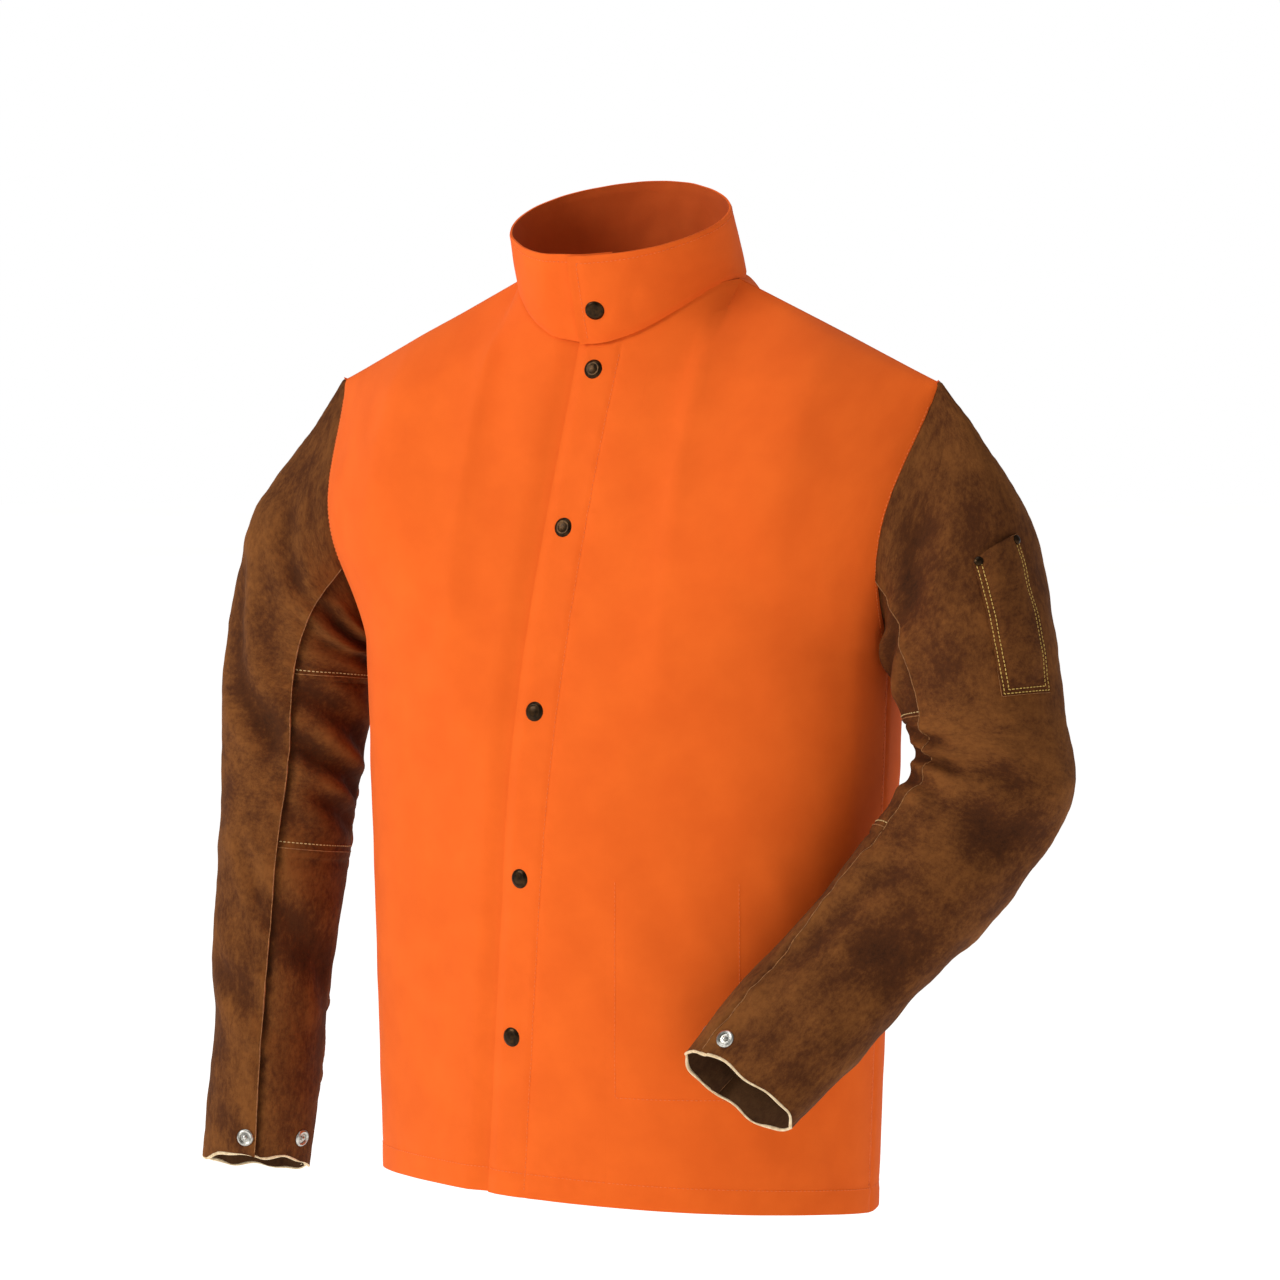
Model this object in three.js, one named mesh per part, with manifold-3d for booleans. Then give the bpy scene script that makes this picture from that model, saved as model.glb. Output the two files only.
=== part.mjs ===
// A hybrid welding jacket, size large: flame-resistant cotton body and stand-up collar, split-leather
// sleeves, six snaps down the front, a snap's stud and socket at each cuff, a riveted scribe pocket on the
// left sleeve and a patch pocket inside the left front. It keeps its worn shape: the right sleeve hangs straight down,
// and the left one bends across the front.
//
// Frame, in millimetres: +Z up, the front faces -Y, +X is the wearer's left. The origin is the middle of
// the neck opening, level with the shoulders' neck points, where a neck and shoulders carry the jacket.
//
// Every panel of cloth or leather is a box of many segments whose corners are carried onto the garment's
// surface, so each is a closed solid of even thickness.

import * as THREE from "three";
import { mergeVertices } from "three/addons/utils/BufferGeometryUtils.js";
import Module from "manifold-3d";

const wasm = await Module();
wasm.setup();

// ---------------------------------------------------------------- driving dimensions

const BODY_LENGTH = 762; // neck point down to the hem at the side
const FRONT_HEM_RISE = 16; // the hem's middle hangs this much higher
const HEM_HALF_WIDTH = 223;
const CHEST_HALF_WIDTH = 238;
const BODY_HALF_DEPTH = 151;
const NECK_HALF_WIDTH = 98;
const NECK_HALF_DEPTH = 80;
const FRONT_NECK_DROP = 52;
const BACK_NECK_RISE = 7;
const SHOULDER_HALF_WIDTH = 278; // middle to the shoulder tip
const LEFT_SHOULDER_DROP = 81; // neck point down to the shoulder tip
const RIGHT_SHOULDER_DROOP = 11; // the straight sleeve drags its own shoulder this much lower
const ARMHOLE_HEIGHT = 216;
const ARMHOLE_HALF_DEPTH = 64;
const SHOULDER_ROUNDING = 200; // height over which the body fills out below the shoulders
const CHEST_ROUNDING = 420; // and below the front of the neck
const RIDGE_SET_BACK = 5; // the shoulder seam lies this far behind the middle

const COLLAR_HEIGHT = 70; // at the front and the back
const COLLAR_LEAN = 22; // the rim stands this far forward of the neck seam
const COLLAR_TAPER = 0.97;
const LINING_GAP = 0.7; // between the collar's two layers
const LINING_INSET = 0.6; // the lining stops this far short of the collar's edges

const COTTON = 1.0; // thickness of the body cloth
const LEATHER = 1.5; // thickness of the sleeve leather
const SEAM_GAP = 0.5; // between neighbouring panels, and between the cloth's layers
const PANEL_ROW = 60.8; // a body panel is divided into rows about this high
const ARMHOLE_GAP = 2.6; // between the body's panels and the sleeve heads
const HARDWARE_GAP = 0.9; // between a layer of cloth and the snap piece that lies on it

const SNAP_LINE_TOP_X = 14; // the snaps' line hangs askew, from here at the neck
const SNAP_LINE_HEM_X = -40; // to here at the hem
const LEFT_EDGE_BEYOND_SNAPS = 18;
const RIGHT_EDGE_BEYOND_SNAPS = 20;
const FOLD_X = 56; // the left front's edge strip folds back here
const FACING_WIDTH = 40;
const FACING_TUCK = 1.5; // the facing's edge stops this far short of the front's edge
const SNAP_HEIGHTS = [0.11, 0.276, 0.469, 0.647, 0.819].map((share) => -BODY_LENGTH * share);
const STRIP_ROOT_Z = SNAP_HEIGHTS[0] - 21; // the edge strip starts to bend below the first snap
const STRIP_TOP_Z = SNAP_HEIGHTS[1] + 22; // and moves freely from above the second one
const COLLAR_SNAP_SHARE = 0.36; // of the collar's height
const SNAP_CAP_RADIUS = 8;
const SNAP_CAP_RISE = 2.4;
const SNAP_SHANK_RADIUS = 1.6;
const SNAP_CLEARANCE = 0.4; // round a shank, a stud, and between stacked pieces
const SNAP_SOCKET_RADIUS = 6.2;
const SNAP_SOCKET_DEPTH = 2.6;
const SNAP_STUD_RADIUS = 3.0;
const SNAP_STUD_HEIGHT = 2.4;
const SNAP_FLANGE_RADIUS = 5.6;
const SNAP_FLANGE_THICKNESS = 0.8;
const SNAP_SIDES = 10;

const FRONT_SEAM_ANGLE = 115; // degrees round the arm from its outer side, towards the front
const BACK_SEAM_ANGLE = 235;
const CUFF_SNAP_ANGLES = { stud: 105, socket: 172 }; // degrees round the arm
const CUFF_SNAP_INSET = 15; // above the cuff's edge
const CUFF_WASHER_GAP = 1.8; // between the curved leather and the flat washer

const SLEEVE_POCKET_START = 11; // degrees round the arm
const SLEEVE_POCKET_END = 52;
const SLEEVE_POCKET_LENGTH = 118;
const SLEEVE_POCKET_INSET = 14; // above the crosswise seam
const SLEEVE_POCKET_BULGE = 8;
const RIVET_RADIUS = 3.6;
const RIVET_RISE = 1.4;
const RIVET_INSET = 7; // from the pocket's top and side edges

const INSIDE_POCKET_X = 62;
const INSIDE_POCKET_WIDTH = 98;
const INSIDE_POCKET_TOP_Z = -BODY_LENGTH + 282;
const INSIDE_POCKET_HEIGHT = 178;
const INSIDE_POCKET_BULGE = 9;

// Each sleeve is led through rings. A ring's centre is counted outwards from the shoulder tip, forwards
// from the jacket's middle plane and downwards from the underarm. Then come the way the arm runs there,
// and the ring's half-widths across the arm's outer side and across its front.
const RINGS = {
  left: [
    ring(1, [20, 1, -47], [0.69, 0, -0.724], 79, 66),
    ring(1, [45, 7, 48], [0.13, -0.12, -0.98], 65, 64),
    ring(1, [53, 16, 107], [-0.16, -0.32, -0.93], 66, 60),
    ring(1, [24, BODY_HALF_DEPTH - 91, 170], [-0.42, -0.46, -0.78], 62, 55),
    ring(1, [-24, BODY_HALF_DEPTH - 42, 242], [-0.43, -0.48, -0.765], 60, 45),
    ring(1, [-84, BODY_HALF_DEPTH + 17, 330], [-0.44, -0.47, -0.765], 58, 38),
  ],
  right: [
    ring(-1, [19, 1, -46], [-0.69, 0, -0.724], 77, 66),
    ring(-1, [39, 8, 38], [0, -0.12, -0.99], 64, 63),
    ring(-1, [38, 20, 114], [0, -0.15, -0.99], 61, 60),
    ring(-1, [40, 36, 190], [-0.03, -0.15, -0.99], 56, 56),
    ring(-1, [46, 50, 318], [-0.04, -0.1, -0.99], 50, 50),
    ring(-1, [51, 60, 444], [-0.04, -0.08, -0.99], 46, 45),
  ],
};
// Where the sleeve's sections end, counted in rings from the armhole.
const SECTIONS = [
  { name: "head", from: 0, to: 1, rows: 5 },
  { name: "upper", from: 1, to: 2, rows: 3 },
  { name: "elbow", from: 2, to: 4, rows: 4 },
  { name: "forearm", from: 4, to: 6, rows: 3 },
];
const SECTION_GAP = 0.006; // in rings, between neighbouring sections

const ORANGE = { color: 0xf06c26, roughness: 0.85, metalness: 0 };
const ORANGE_INSIDE = { color: 0xb4501f, roughness: 0.9, metalness: 0 };
const SUEDE = { color: 0x6d4224, roughness: 0.95, metalness: 0 };
const ANTIQUE = { color: 0x2d2018, roughness: 0.4, metalness: 0.8 };
const NICKEL = { color: 0xb9b6ae, roughness: 0.3, metalness: 0.9 };

// ---------------------------------------------------------------- helpers

const jacket = new THREE.Group();
const degrees = THREE.MathUtils.degToRad;
const lerp = THREE.MathUtils.lerp;
const clamp = THREE.MathUtils.clamp;

function ring(side, [beyond, forward, below], along, outerHalf, frontHalf) {
  const x = side * (SHOULDER_HALF_WIDTH + beyond);
  const centre = new THREE.Vector3(x, -forward, underarmZ(side) - below);
  return { centre, tangent: new THREE.Vector3(...along).normalize(), outerHalf, frontHalf };
}

function addPart(name, geometry, finish) {
  const mesh = new THREE.Mesh(geometry, new THREE.MeshStandardMaterial(finish));
  mesh.name = name;
  jacket.add(mesh);
  return mesh;
}

// Leaves only positions, so that every shared corner is one vertex.
function welded(geometry) {
  geometry.deleteAttribute("normal");
  geometry.deleteAttribute("uv");
  return mergeVertices(geometry, 1e-4);
}

function toManifold(geometry) {
  const vertProperties = Float32Array.from(geometry.attributes.position.array);
  const triVerts = Uint32Array.from(geometry.index.array);
  return new wasm.Manifold(new wasm.Mesh({ numProp: 3, vertProperties, triVerts }));
}

function toGeometry(solid) {
  const mesh = solid.getMesh();
  const geometry = new THREE.BufferGeometry();
  geometry.setAttribute("position", new THREE.BufferAttribute(mesh.vertProperties, 3));
  geometry.setIndex(new THREE.BufferAttribute(mesh.triVerts, 1));
  return geometry;
}

function cut(geometry, tools) {
  let solid = toManifold(geometry);
  for (const tool of tools) solid = solid.subtract(toManifold(tool));
  return toGeometry(solid);
}

// The outward direction of a surface at (u, v). Flipped is true where u and v turn the other way.
function normalAt(surface, u, v, flipped) {
  const step = 0.002;
  const u0 = clamp(u, step, 1 - step);
  const v0 = clamp(v, step, 1 - step);
  const across = surface(u0 + step, v0).sub(surface(u0 - step, v0));
  const up = surface(u0, v0 + step).sub(surface(u0, v0 - step));
  const normal = across.cross(up).normalize();
  return flipped ? normal.negate() : normal;
}

// A sheet of even thickness: its outer face stands offset(u, v) off the surface along the outward
// direction, and its inner face lies thickness below that.
function sheet({ surface, columns, rows, thickness, offset = () => 0, flipped = false }) {
  const geometry = welded(new THREE.BoxGeometry(1, 1, 1, columns, rows, 1));
  const position = geometry.attributes.position;
  const corner = new THREE.Vector3();
  for (let i = 0; i < position.count; i += 1) {
    corner.fromBufferAttribute(position, i);
    const u = corner.x + 0.5;
    const v = corner.y + 0.5;
    const depth = offset(u, v) - (corner.z > 0 ? 0 : thickness);
    const point = surface(u, v).addScaledVector(normalAt(surface, u, v, flipped), depth);
    position.setXYZ(i, point.x, point.y, point.z);
  }
  if (flipped) reverse(geometry);
  return geometry;
}

// Turns every face round, for a sheet whose surface runs the other way.
function reverse(geometry) {
  const index = geometry.index;
  for (let i = 0; i < index.count; i += 3) {
    const first = index.getX(i);
    index.setX(i, index.getX(i + 2));
    index.setX(i + 2, first);
  }
}

// ---------------------------------------------------------------- the body's surface

function shoulderDrop(x) {
  return x < 0 ? LEFT_SHOULDER_DROP + RIGHT_SHOULDER_DROOP : LEFT_SHOULDER_DROP;
}

function underarmZ(x) {
  return -shoulderDrop(x) - ARMHOLE_HEIGHT;
}

// Height of the body's top edge at x: the shoulder seam, or the neck seam between the neck points.
function topEdge(x, facing) {
  const beyondNeck = Math.abs(x) - NECK_HALF_WIDTH;
  if (beyondNeck > 0) {
    return (-shoulderDrop(x) * beyondNeck) / (SHOULDER_HALF_WIDTH - NECK_HALF_WIDTH);
  }
  const inside = 1 - (x / NECK_HALF_WIDTH) ** 2;
  return inside * (facing === "front" ? -FRONT_NECK_DROP : BACK_NECK_RISE);
}

// How far up the armhole a height lies: 0 at the underarm, 1 at the shoulder tip.
function armholeShare(z, side) {
  return clamp((z - underarmZ(side)) / ARMHOLE_HEIGHT, 0, 1);
}

// Half the body's width at a height, on the side given by the sign of side.
function halfWidth(z, side) {
  const rise = clamp((z + BODY_LENGTH) / (BODY_LENGTH + underarmZ(side)), 0, 1);
  const below = lerp(HEM_HALF_WIDTH, CHEST_HALF_WIDTH, rise);
  return below + (SHOULDER_HALF_WIDTH - CHEST_HALF_WIDTH) * armholeShare(z, side);
}

// A point of the body: share runs from -1 at the right edge to 1 at the left edge.
function bodyPoint(share, z, facing) {
  const forward = facing === "front" ? -1 : 1;
  const side = share < 0 ? -1 : 1;
  const across = Math.sin((share * Math.PI) / 2);
  const x = halfWidth(z, side) * across;
  const up = armholeShare(z, side);
  const edgeDepth = ARMHOLE_HALF_DEPTH * Math.sin(Math.PI * up);
  const roundness = 0.5 + 0.35 * Math.sin(Math.PI * up);
  const profile = Math.max(1 - across * across, 0) ** roundness;
  const fullDepth = lerp(edgeDepth, BODY_HALF_DEPTH, profile);
  const inNeck = Math.max(1 - (x / NECK_HALF_WIDTH) ** 2, 0);
  const topDepth = NECK_HALF_DEPTH * Math.sqrt(inNeck);
  const middle = Math.max(1 - (x / (2 * NECK_HALF_WIDTH)) ** 2, 0) ** 1.5;
  const chest = facing === "front" ? middle : 0;
  const rounding = lerp(SHOULDER_ROUNDING, CHEST_ROUNDING, chest);
  const below = clamp((topEdge(x, facing) - z) / rounding, 0, 1);
  const filled = (1 - (1 - below) ** 2) ** lerp(0.62, chest > 0 ? 1.25 : 0.8, middle);
  const y = RIDGE_SET_BACK * (1 - filled) + forward * lerp(topDepth, fullDepth, filled);
  const seamHalfGap = SEAM_GAP / 2 + COTTON * (1 - filled) * (1 - inNeck);
  return new THREE.Vector3(x, y + forward * seamHalfGap, z);
}

// Spreads a panel's columns so that one of them meets the neck point: one in three lies inside it.
const NECK_SHARE = (Math.asin(NECK_HALF_WIDTH / SHOULDER_HALF_WIDTH) * 2) / Math.PI;
function pastNeck(u, from, to) {
  const neck = Math.sign(to) * NECK_SHARE;
  return u < 1 / 3 ? lerp(from, neck, u * 3) : lerp(neck, to, (u * 3 - 1) / 2);
}

// The height at which a column of the body meets its top edge.
function columnTop(share, facing) {
  let z = -40;
  for (let i = 0; i < 40; i += 1) {
    const x = halfWidth(z, share) * Math.sin((share * Math.PI) / 2);
    z = topEdge(x, facing);
  }
  return z;
}

function hemZ(share, facing) {
  const rise = facing === "front" ? FRONT_HEM_RISE : FRONT_HEM_RISE / 2;
  return -BODY_LENGTH + rise * (1 - share * share);
}

// The share at which a column passes through a given x at a given height.
function shareAt(x, z) {
  return (Math.asin(clamp(x / halfWidth(z, x), -1, 1)) * 2) / Math.PI;
}

function snapLineX(z) {
  return lerp(SNAP_LINE_TOP_X, SNAP_LINE_HEM_X, clamp(-z / BODY_LENGTH, 0, 1));
}

// How many rows a body panel takes, so that they stay equally fine whatever its length.
const rowsOver = (length) => Math.round(length / PANEL_ROW);

// Crowds a panel's rows together near its top edge, where the body is round.
function towardsTop(v) {
  return 1 - (1 - v) ** 2;
}

// A patch of the front between two edges, each a function of height giving x, and two heights.
function frontPatch({ fromX, toX, topZ, bottomZ }) {
  return (u, v) => {
    const z = lerp(bottomZ(u), topZ(u), towardsTop(v));
    const share = lerp(shareAt(fromX(z), z), shareAt(toX(z), z), u);
    return bodyPoint(share, z, "front");
  };
}

// The layers, counted inwards from the body's surface to each one's outer face.
const LEFT_FACING_DEPTH = COTTON + SEAM_GAP;
const SOCKET_DEPTH = LEFT_FACING_DEPTH + COTTON + HARDWARE_GAP;
const RIGHT_FRONT_DEPTH =
  SOCKET_DEPTH + SNAP_SOCKET_DEPTH + SNAP_FLANGE_THICKNESS + SNAP_CLEARANCE + HARDWARE_GAP;
const RIGHT_FACING_DEPTH = RIGHT_FRONT_DEPTH + COTTON + SEAM_GAP;

// How far the right front is set in under the left one, from 0 clear of it to 1 under it.
function underlap(x, z) {
  const clearOfEdge = snapLineX(z) - LEFT_EDGE_BEYOND_SNAPS - x;
  return 1 - THREE.MathUtils.smoothstep(clearOfEdge, 5, 30);
}

// ---------------------------------------------------------------- snaps

function turned(profile) {
  const points = profile.map(([radius, height]) => new THREE.Vector2(radius, height));
  return welded(new THREE.LatheGeometry(points, SNAP_SIDES));
}

// Stands a turned piece on a place, its +Y along the place's outward direction.
function seated(geometry, place) {
  const turn = new THREE.Quaternion().setFromUnitVectors(new THREE.Vector3(0, 1, 0), place.normal);
  return geometry.applyQuaternion(turn).translate(place.point.x, place.point.y, place.point.z);
}

// The snap's pieces, as profiles of radius and height above the cloth's outer face.
function capProfile(shankEnd) {
  const foot = HARDWARE_GAP / 2;
  return [
    [0, foot + SNAP_CAP_RISE],
    [SNAP_CAP_RADIUS * 0.5, foot + SNAP_CAP_RISE * 0.88],
    [SNAP_CAP_RADIUS * 0.86, foot + SNAP_CAP_RISE * 0.5],
    [SNAP_CAP_RADIUS, foot + SNAP_CAP_RISE * 0.15],
    [SNAP_CAP_RADIUS * 0.97, foot],
    [SNAP_SHANK_RADIUS, foot],
    [SNAP_SHANK_RADIUS, shankEnd],
    [0, shankEnd],
  ].reverse();
}

function socketProfile(top) {
  const bore = SNAP_STUD_RADIUS + SNAP_CLEARANCE;
  const plate = top - SNAP_FLANGE_THICKNESS;
  const bottom = top - SNAP_SOCKET_DEPTH;
  const eye = SNAP_SHANK_RADIUS + SNAP_CLEARANCE;
  return [
    [eye, top],
    [eye, plate],
    [bore, plate],
    [bore, bottom],
    [SNAP_SOCKET_RADIUS * 0.9, bottom],
    [SNAP_SOCKET_RADIUS, plate],
    [SNAP_SOCKET_RADIUS, top],
    [eye, top],
  ];
}

function studProfile(foot) {
  const eye = SNAP_SHANK_RADIUS * 0.5 + SNAP_CLEARANCE;
  const flange = foot + SNAP_FLANGE_THICKNESS;
  const crown = foot + SNAP_STUD_HEIGHT;
  return [
    [eye, foot],
    [SNAP_FLANGE_RADIUS, foot],
    [SNAP_FLANGE_RADIUS, flange],
    [SNAP_STUD_RADIUS * 0.85, flange],
    [SNAP_STUD_RADIUS, crown - 0.5],
    [SNAP_STUD_RADIUS * 0.8, crown],
    [eye, crown],
    [eye, foot],
  ];
}

function postProfile(top, tip) {
  const pin = SNAP_SHANK_RADIUS * 0.5;
  const bottom = top - SNAP_FLANGE_THICKNESS;
  return [
    [0, bottom],
    [SNAP_FLANGE_RADIUS, bottom],
    [SNAP_FLANGE_RADIUS, top],
    [pin, top],
    [pin, tip],
    [0, tip],
  ];
}

function punch(place, radius) {
  const tool = new THREE.CylinderGeometry(radius, radius, 60, SNAP_SIDES);
  return seated(welded(tool), place);
}

// A place on the closed front, on the snaps' line.
function snapPlace(z) {
  const surface = frontPatch({
    fromX: (height) => snapLineX(height) - 20,
    toX: (height) => snapLineX(height) + 20,
    topZ: () => z + 20,
    bottomZ: () => z - 20,
  });
  return { point: surface(0.5, 0.5), normal: normalAt(surface, 0.5, 0.5, false) };
}

const EYELET_RADIUS = SNAP_SHANK_RADIUS + SNAP_CLEARANCE;
const frontSnapPlaces = SNAP_HEIGHTS.map(snapPlace);
const frontPunches = frontSnapPlaces.map((place) => punch(place, EYELET_RADIUS));

function addSnap(prefix, place, depths) {
  const shankEnd = -depths.socket - SNAP_FLANGE_THICKNESS;
  addPart(`${prefix}_cap`, seated(turned(capProfile(shankEnd)), place), ANTIQUE);
  addPart(`${prefix}_socket`, seated(turned(socketProfile(-depths.socket)), place), NICKEL);
  const studFoot = -depths.under + HARDWARE_GAP / 2;
  addPart(`${prefix}_stud`, seated(turned(studProfile(studFoot)), place), NICKEL);
  const postTop = -depths.underBack - HARDWARE_GAP;
  const pinTip = studFoot + SNAP_STUD_HEIGHT - SNAP_CLEARANCE;
  addPart(`${prefix}_post`, seated(turned(postProfile(postTop, pinTip)), place), NICKEL);
}

// ---------------------------------------------------------------- body panels

function addBack() {
  const surface = (u, v) => {
    const share = pastNeck(Math.abs(1 - 2 * u), 0, u < 0.5 ? 1 : -1);
    const z = lerp(hemZ(share, "back"), columnTop(share, "back"), towardsTop(v));
    return bodyPoint(share, z, "back");
  };
  addPart("back_panel", sheet({ surface, columns: 18, rows: rowsOver(BODY_LENGTH), thickness: COTTON }), ORANGE);
}

const leftEdgeX = (z) => snapLineX(z) - LEFT_EDGE_BEYOND_SNAPS;
const rightEdgeX = (z) => snapLineX(z) + RIGHT_EDGE_BEYOND_SNAPS;

// The front from a column that starts at a given x to the edge on one side, 1 for left or -1 for right.
function frontColumns(fromX, side) {
  const shareOf = (u, z) => pastNeck(u, shareAt(fromX(z), z), side);
  return (u, v) => {
    const hem = hemZ(shareOf(u, -BODY_LENGTH), "front");
    let top = -FRONT_NECK_DROP;
    for (let i = 0; i < 30; i += 1) {
      const share = shareOf(u, top);
      top = topEdge(halfWidth(top, share) * Math.sin((share * Math.PI) / 2), "front");
    }
    const z = lerp(hem, top, towardsTop(v));
    return bodyPoint(shareOf(u, z), z, "front");
  };
}

function addLeftFront() {
  const beside = frontColumns(() => FOLD_X, 1);
  const side = sheet({ surface: beside, columns: 9, rows: rowsOver(BODY_LENGTH), thickness: COTTON });
  addPart("left_front", side, ORANGE);

  const foldEdge = () => FOLD_X - SEAM_GAP;
  const strip = (name, topZ, bottomZ, rows, snaps) => {
    const surface = frontPatch({ fromX: leftEdgeX, toX: foldEdge, topZ, bottomZ });
    const cloth = sheet({ surface, columns: 4, rows, thickness: COTTON });
    addPart(name, cut(cloth, snaps), ORANGE);
  };
  const facing = (name, topZ, bottomZ, rows, snaps) => {
    const fromX = (z) => leftEdgeX(z) + FACING_TUCK;
    const toX = (z) => leftEdgeX(z) + FACING_WIDTH;
    const surface = frontPatch({ fromX, toX, topZ, bottomZ });
    const offset = () => -LEFT_FACING_DEPTH;
    const cloth = sheet({ surface, columns: 2, rows, thickness: COTTON, offset });
    addPart(name, cut(cloth, snaps), ORANGE_INSIDE);
  };
  const neckTop = (u) => topEdge(lerp(leftEdgeX(-FRONT_NECK_DROP), FOLD_X, u), "front");
  const facingTop = (u) => topEdge(leftEdgeX(-FRONT_NECK_DROP) + FACING_WIDTH * u, "front");
  const hem = (u) => hemZ(u * 0.2, "front");
  const [topPunch, ...lowerPunches] = frontPunches;
  const rootBottom = () => STRIP_ROOT_Z + SEAM_GAP;
  const bendTop = () => STRIP_ROOT_Z;
  const bendBottom = () => STRIP_TOP_Z + SEAM_GAP;
  const freeTop = () => STRIP_TOP_Z;
  strip("left_front_neck", neckTop, rootBottom, 3, [topPunch]);
  strip("left_strip_bend", bendTop, bendBottom, 4, []);
  const freeRows = rowsOver(BODY_LENGTH + STRIP_TOP_Z);
  strip("left_strip", freeTop, hem, freeRows, lowerPunches);
  facing("left_facing_neck", (u) => facingTop(u) - 1, rootBottom, 3, [topPunch]);
  facing("left_facing", freeTop, (u) => hem(u) + 2, freeRows, lowerPunches);
}

function addRightFront() {
  const surface = frontColumns(rightEdgeX, -1);
  const offset = (u, v) => {
    const point = surface(u, v);
    return -RIGHT_FRONT_DEPTH * underlap(point.x, point.z);
  };
  const rows = rowsOver(BODY_LENGTH);
  const panel = sheet({ surface, columns: 18, rows, thickness: COTTON, offset, flipped: true });
  addPart("right_front", cut(panel, frontPunches), ORANGE);

  const facingSurface = frontPatch({
    fromX: (z) => rightEdgeX(z) - FACING_WIDTH,
    toX: (z) => rightEdgeX(z) - FACING_TUCK,
    topZ: (u) => topEdge(rightEdgeX(-FRONT_NECK_DROP) - FACING_WIDTH * (1 - u), "front") - 1.5,
    bottomZ: (u) => hemZ(0, "front") + 2,
  });
  const deeper = (u, v) => {
    const point = facingSurface(u, v);
    return -RIGHT_FRONT_DEPTH * underlap(point.x, point.z) - COTTON - SEAM_GAP;
  };
  const facing = { surface: facingSurface, columns: 2, rows, thickness: COTTON, offset: deeper };
  addPart("right_facing", cut(sheet(facing), frontPunches), ORANGE_INSIDE);
}

function addInsidePocket() {
  const surface = frontPatch({
    fromX: () => INSIDE_POCKET_X,
    toX: () => INSIDE_POCKET_X + INSIDE_POCKET_WIDTH,
    topZ: () => INSIDE_POCKET_TOP_Z,
    bottomZ: () => INSIDE_POCKET_TOP_Z - INSIDE_POCKET_HEIGHT,
  });
  const offset = (u, v) => {
    const hollow = Math.sin(Math.PI * u) ** 0.6 * Math.sin((Math.PI / 2) * Math.min(v * 3, 1));
    return -COTTON - HARDWARE_GAP - INSIDE_POCKET_BULGE * hollow;
  };
  const pocket = sheet({ surface, columns: 8, rows: 6, thickness: COTTON, offset });
  addPart("inside_pocket", pocket, ORANGE_INSIDE);
}

// ---------------------------------------------------------------- collar

// A point of the collar: turn is the angle from the front middle towards the wearer's left, rise the
// share of the collar's height.
function collarPoint(turn, rise) {
  const front = Math.cos(turn);
  const seam = front > 0 ? -FRONT_NECK_DROP * front * front : BACK_NECK_RISE * front * front;
  const rim = lerp(BACK_NECK_RISE, -FRONT_NECK_DROP, (1 + front) / 2) + COLLAR_HEIGHT;
  const narrowing = lerp(1, COLLAR_TAPER, rise);
  return new THREE.Vector3(
    NECK_HALF_WIDTH * Math.sin(turn) * narrowing,
    -NECK_HALF_DEPTH * front * narrowing - COLLAR_LEAN * rise + RIDGE_SET_BACK * (1 - front * front),
    lerp(seam + SEAM_GAP + COTTON, rim, rise),
  );
}

const COLLAR_LEFT_START = Math.asin((SNAP_LINE_TOP_X - LEFT_EDGE_BEYOND_SNAPS) / NECK_HALF_WIDTH);
const COLLAR_RIGHT_END = Math.asin((SNAP_LINE_TOP_X + RIGHT_EDGE_BEYOND_SNAPS) / NECK_HALF_WIDTH);

// The collar's end under the other: how far it is set in, in shares of the right front's depth.
function collarUnderlap(turn) {
  const beyond = turn - 2 * Math.PI;
  return THREE.MathUtils.smoothstep(beyond, COLLAR_LEFT_START - 0.34, COLLAR_LEFT_START - 0.08);
}

function collarLayer(depth, inset) {
  const start = COLLAR_LEFT_START + inset / NECK_HALF_WIDTH;
  const end = 2 * Math.PI + COLLAR_RIGHT_END - inset / NECK_HALF_WIDTH;
  const margin = inset / COLLAR_HEIGHT;
  const surface = (u, v) => collarPoint(lerp(start, end, u), lerp(margin, 1 - margin, v));
  const offset = (u) => -depth - RIGHT_FRONT_DEPTH * collarUnderlap(lerp(start, end, u));
  return { surface, offset, columns: 40, rows: 2, thickness: COTTON };
}

function collarSnapPlace() {
  const turn = Math.asin(SNAP_LINE_TOP_X / NECK_HALF_WIDTH);
  const surface = (u, v) => collarPoint(turn + (u - 0.5) * 0.2, COLLAR_SNAP_SHARE + (v - 0.5) * 0.2);
  return { point: surface(0.5, 0.5), normal: normalAt(surface, 0.5, 0.5, false) };
}

function addCollar() {
  const place = collarSnapPlace();
  const hole = punch(place, EYELET_RADIUS);
  addPart("collar_outer", cut(sheet(collarLayer(0, 0)), [hole]), ORANGE);
  const lining = sheet(collarLayer(COTTON + LINING_GAP, LINING_INSET));
  addPart("collar_lining", cut(lining, [hole]), ORANGE_INSIDE);
  return place;
}

// ---------------------------------------------------------------- sleeves

function ringPoint(station, side, angle) {
  const outward = new THREE.Vector3(side, 0, 0);
  outward.addScaledVector(station.tangent, -outward.dot(station.tangent)).normalize();
  const forward = station.tangent.clone().cross(outward).multiplyScalar(side);
  return station.centre
    .clone()
    .addScaledVector(outward, station.outerHalf * Math.cos(angle))
    .addScaledVector(forward, station.frontHalf * Math.sin(angle));
}

// The armhole seam: angle 0 at the shoulder tip, then down the front and up the back.
function armholePoint(side, angle) {
  const up = (1 + Math.cos(angle)) / 2;
  const z = underarmZ(side) + ARMHOLE_HEIGHT * up;
  const facing = Math.sin(angle) >= 0 ? "front" : "back";
  const point = bodyPoint(side, z, facing);
  return point.add(new THREE.Vector3(side * (ARMHOLE_GAP + LEATHER), 0, 0));
}

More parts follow.
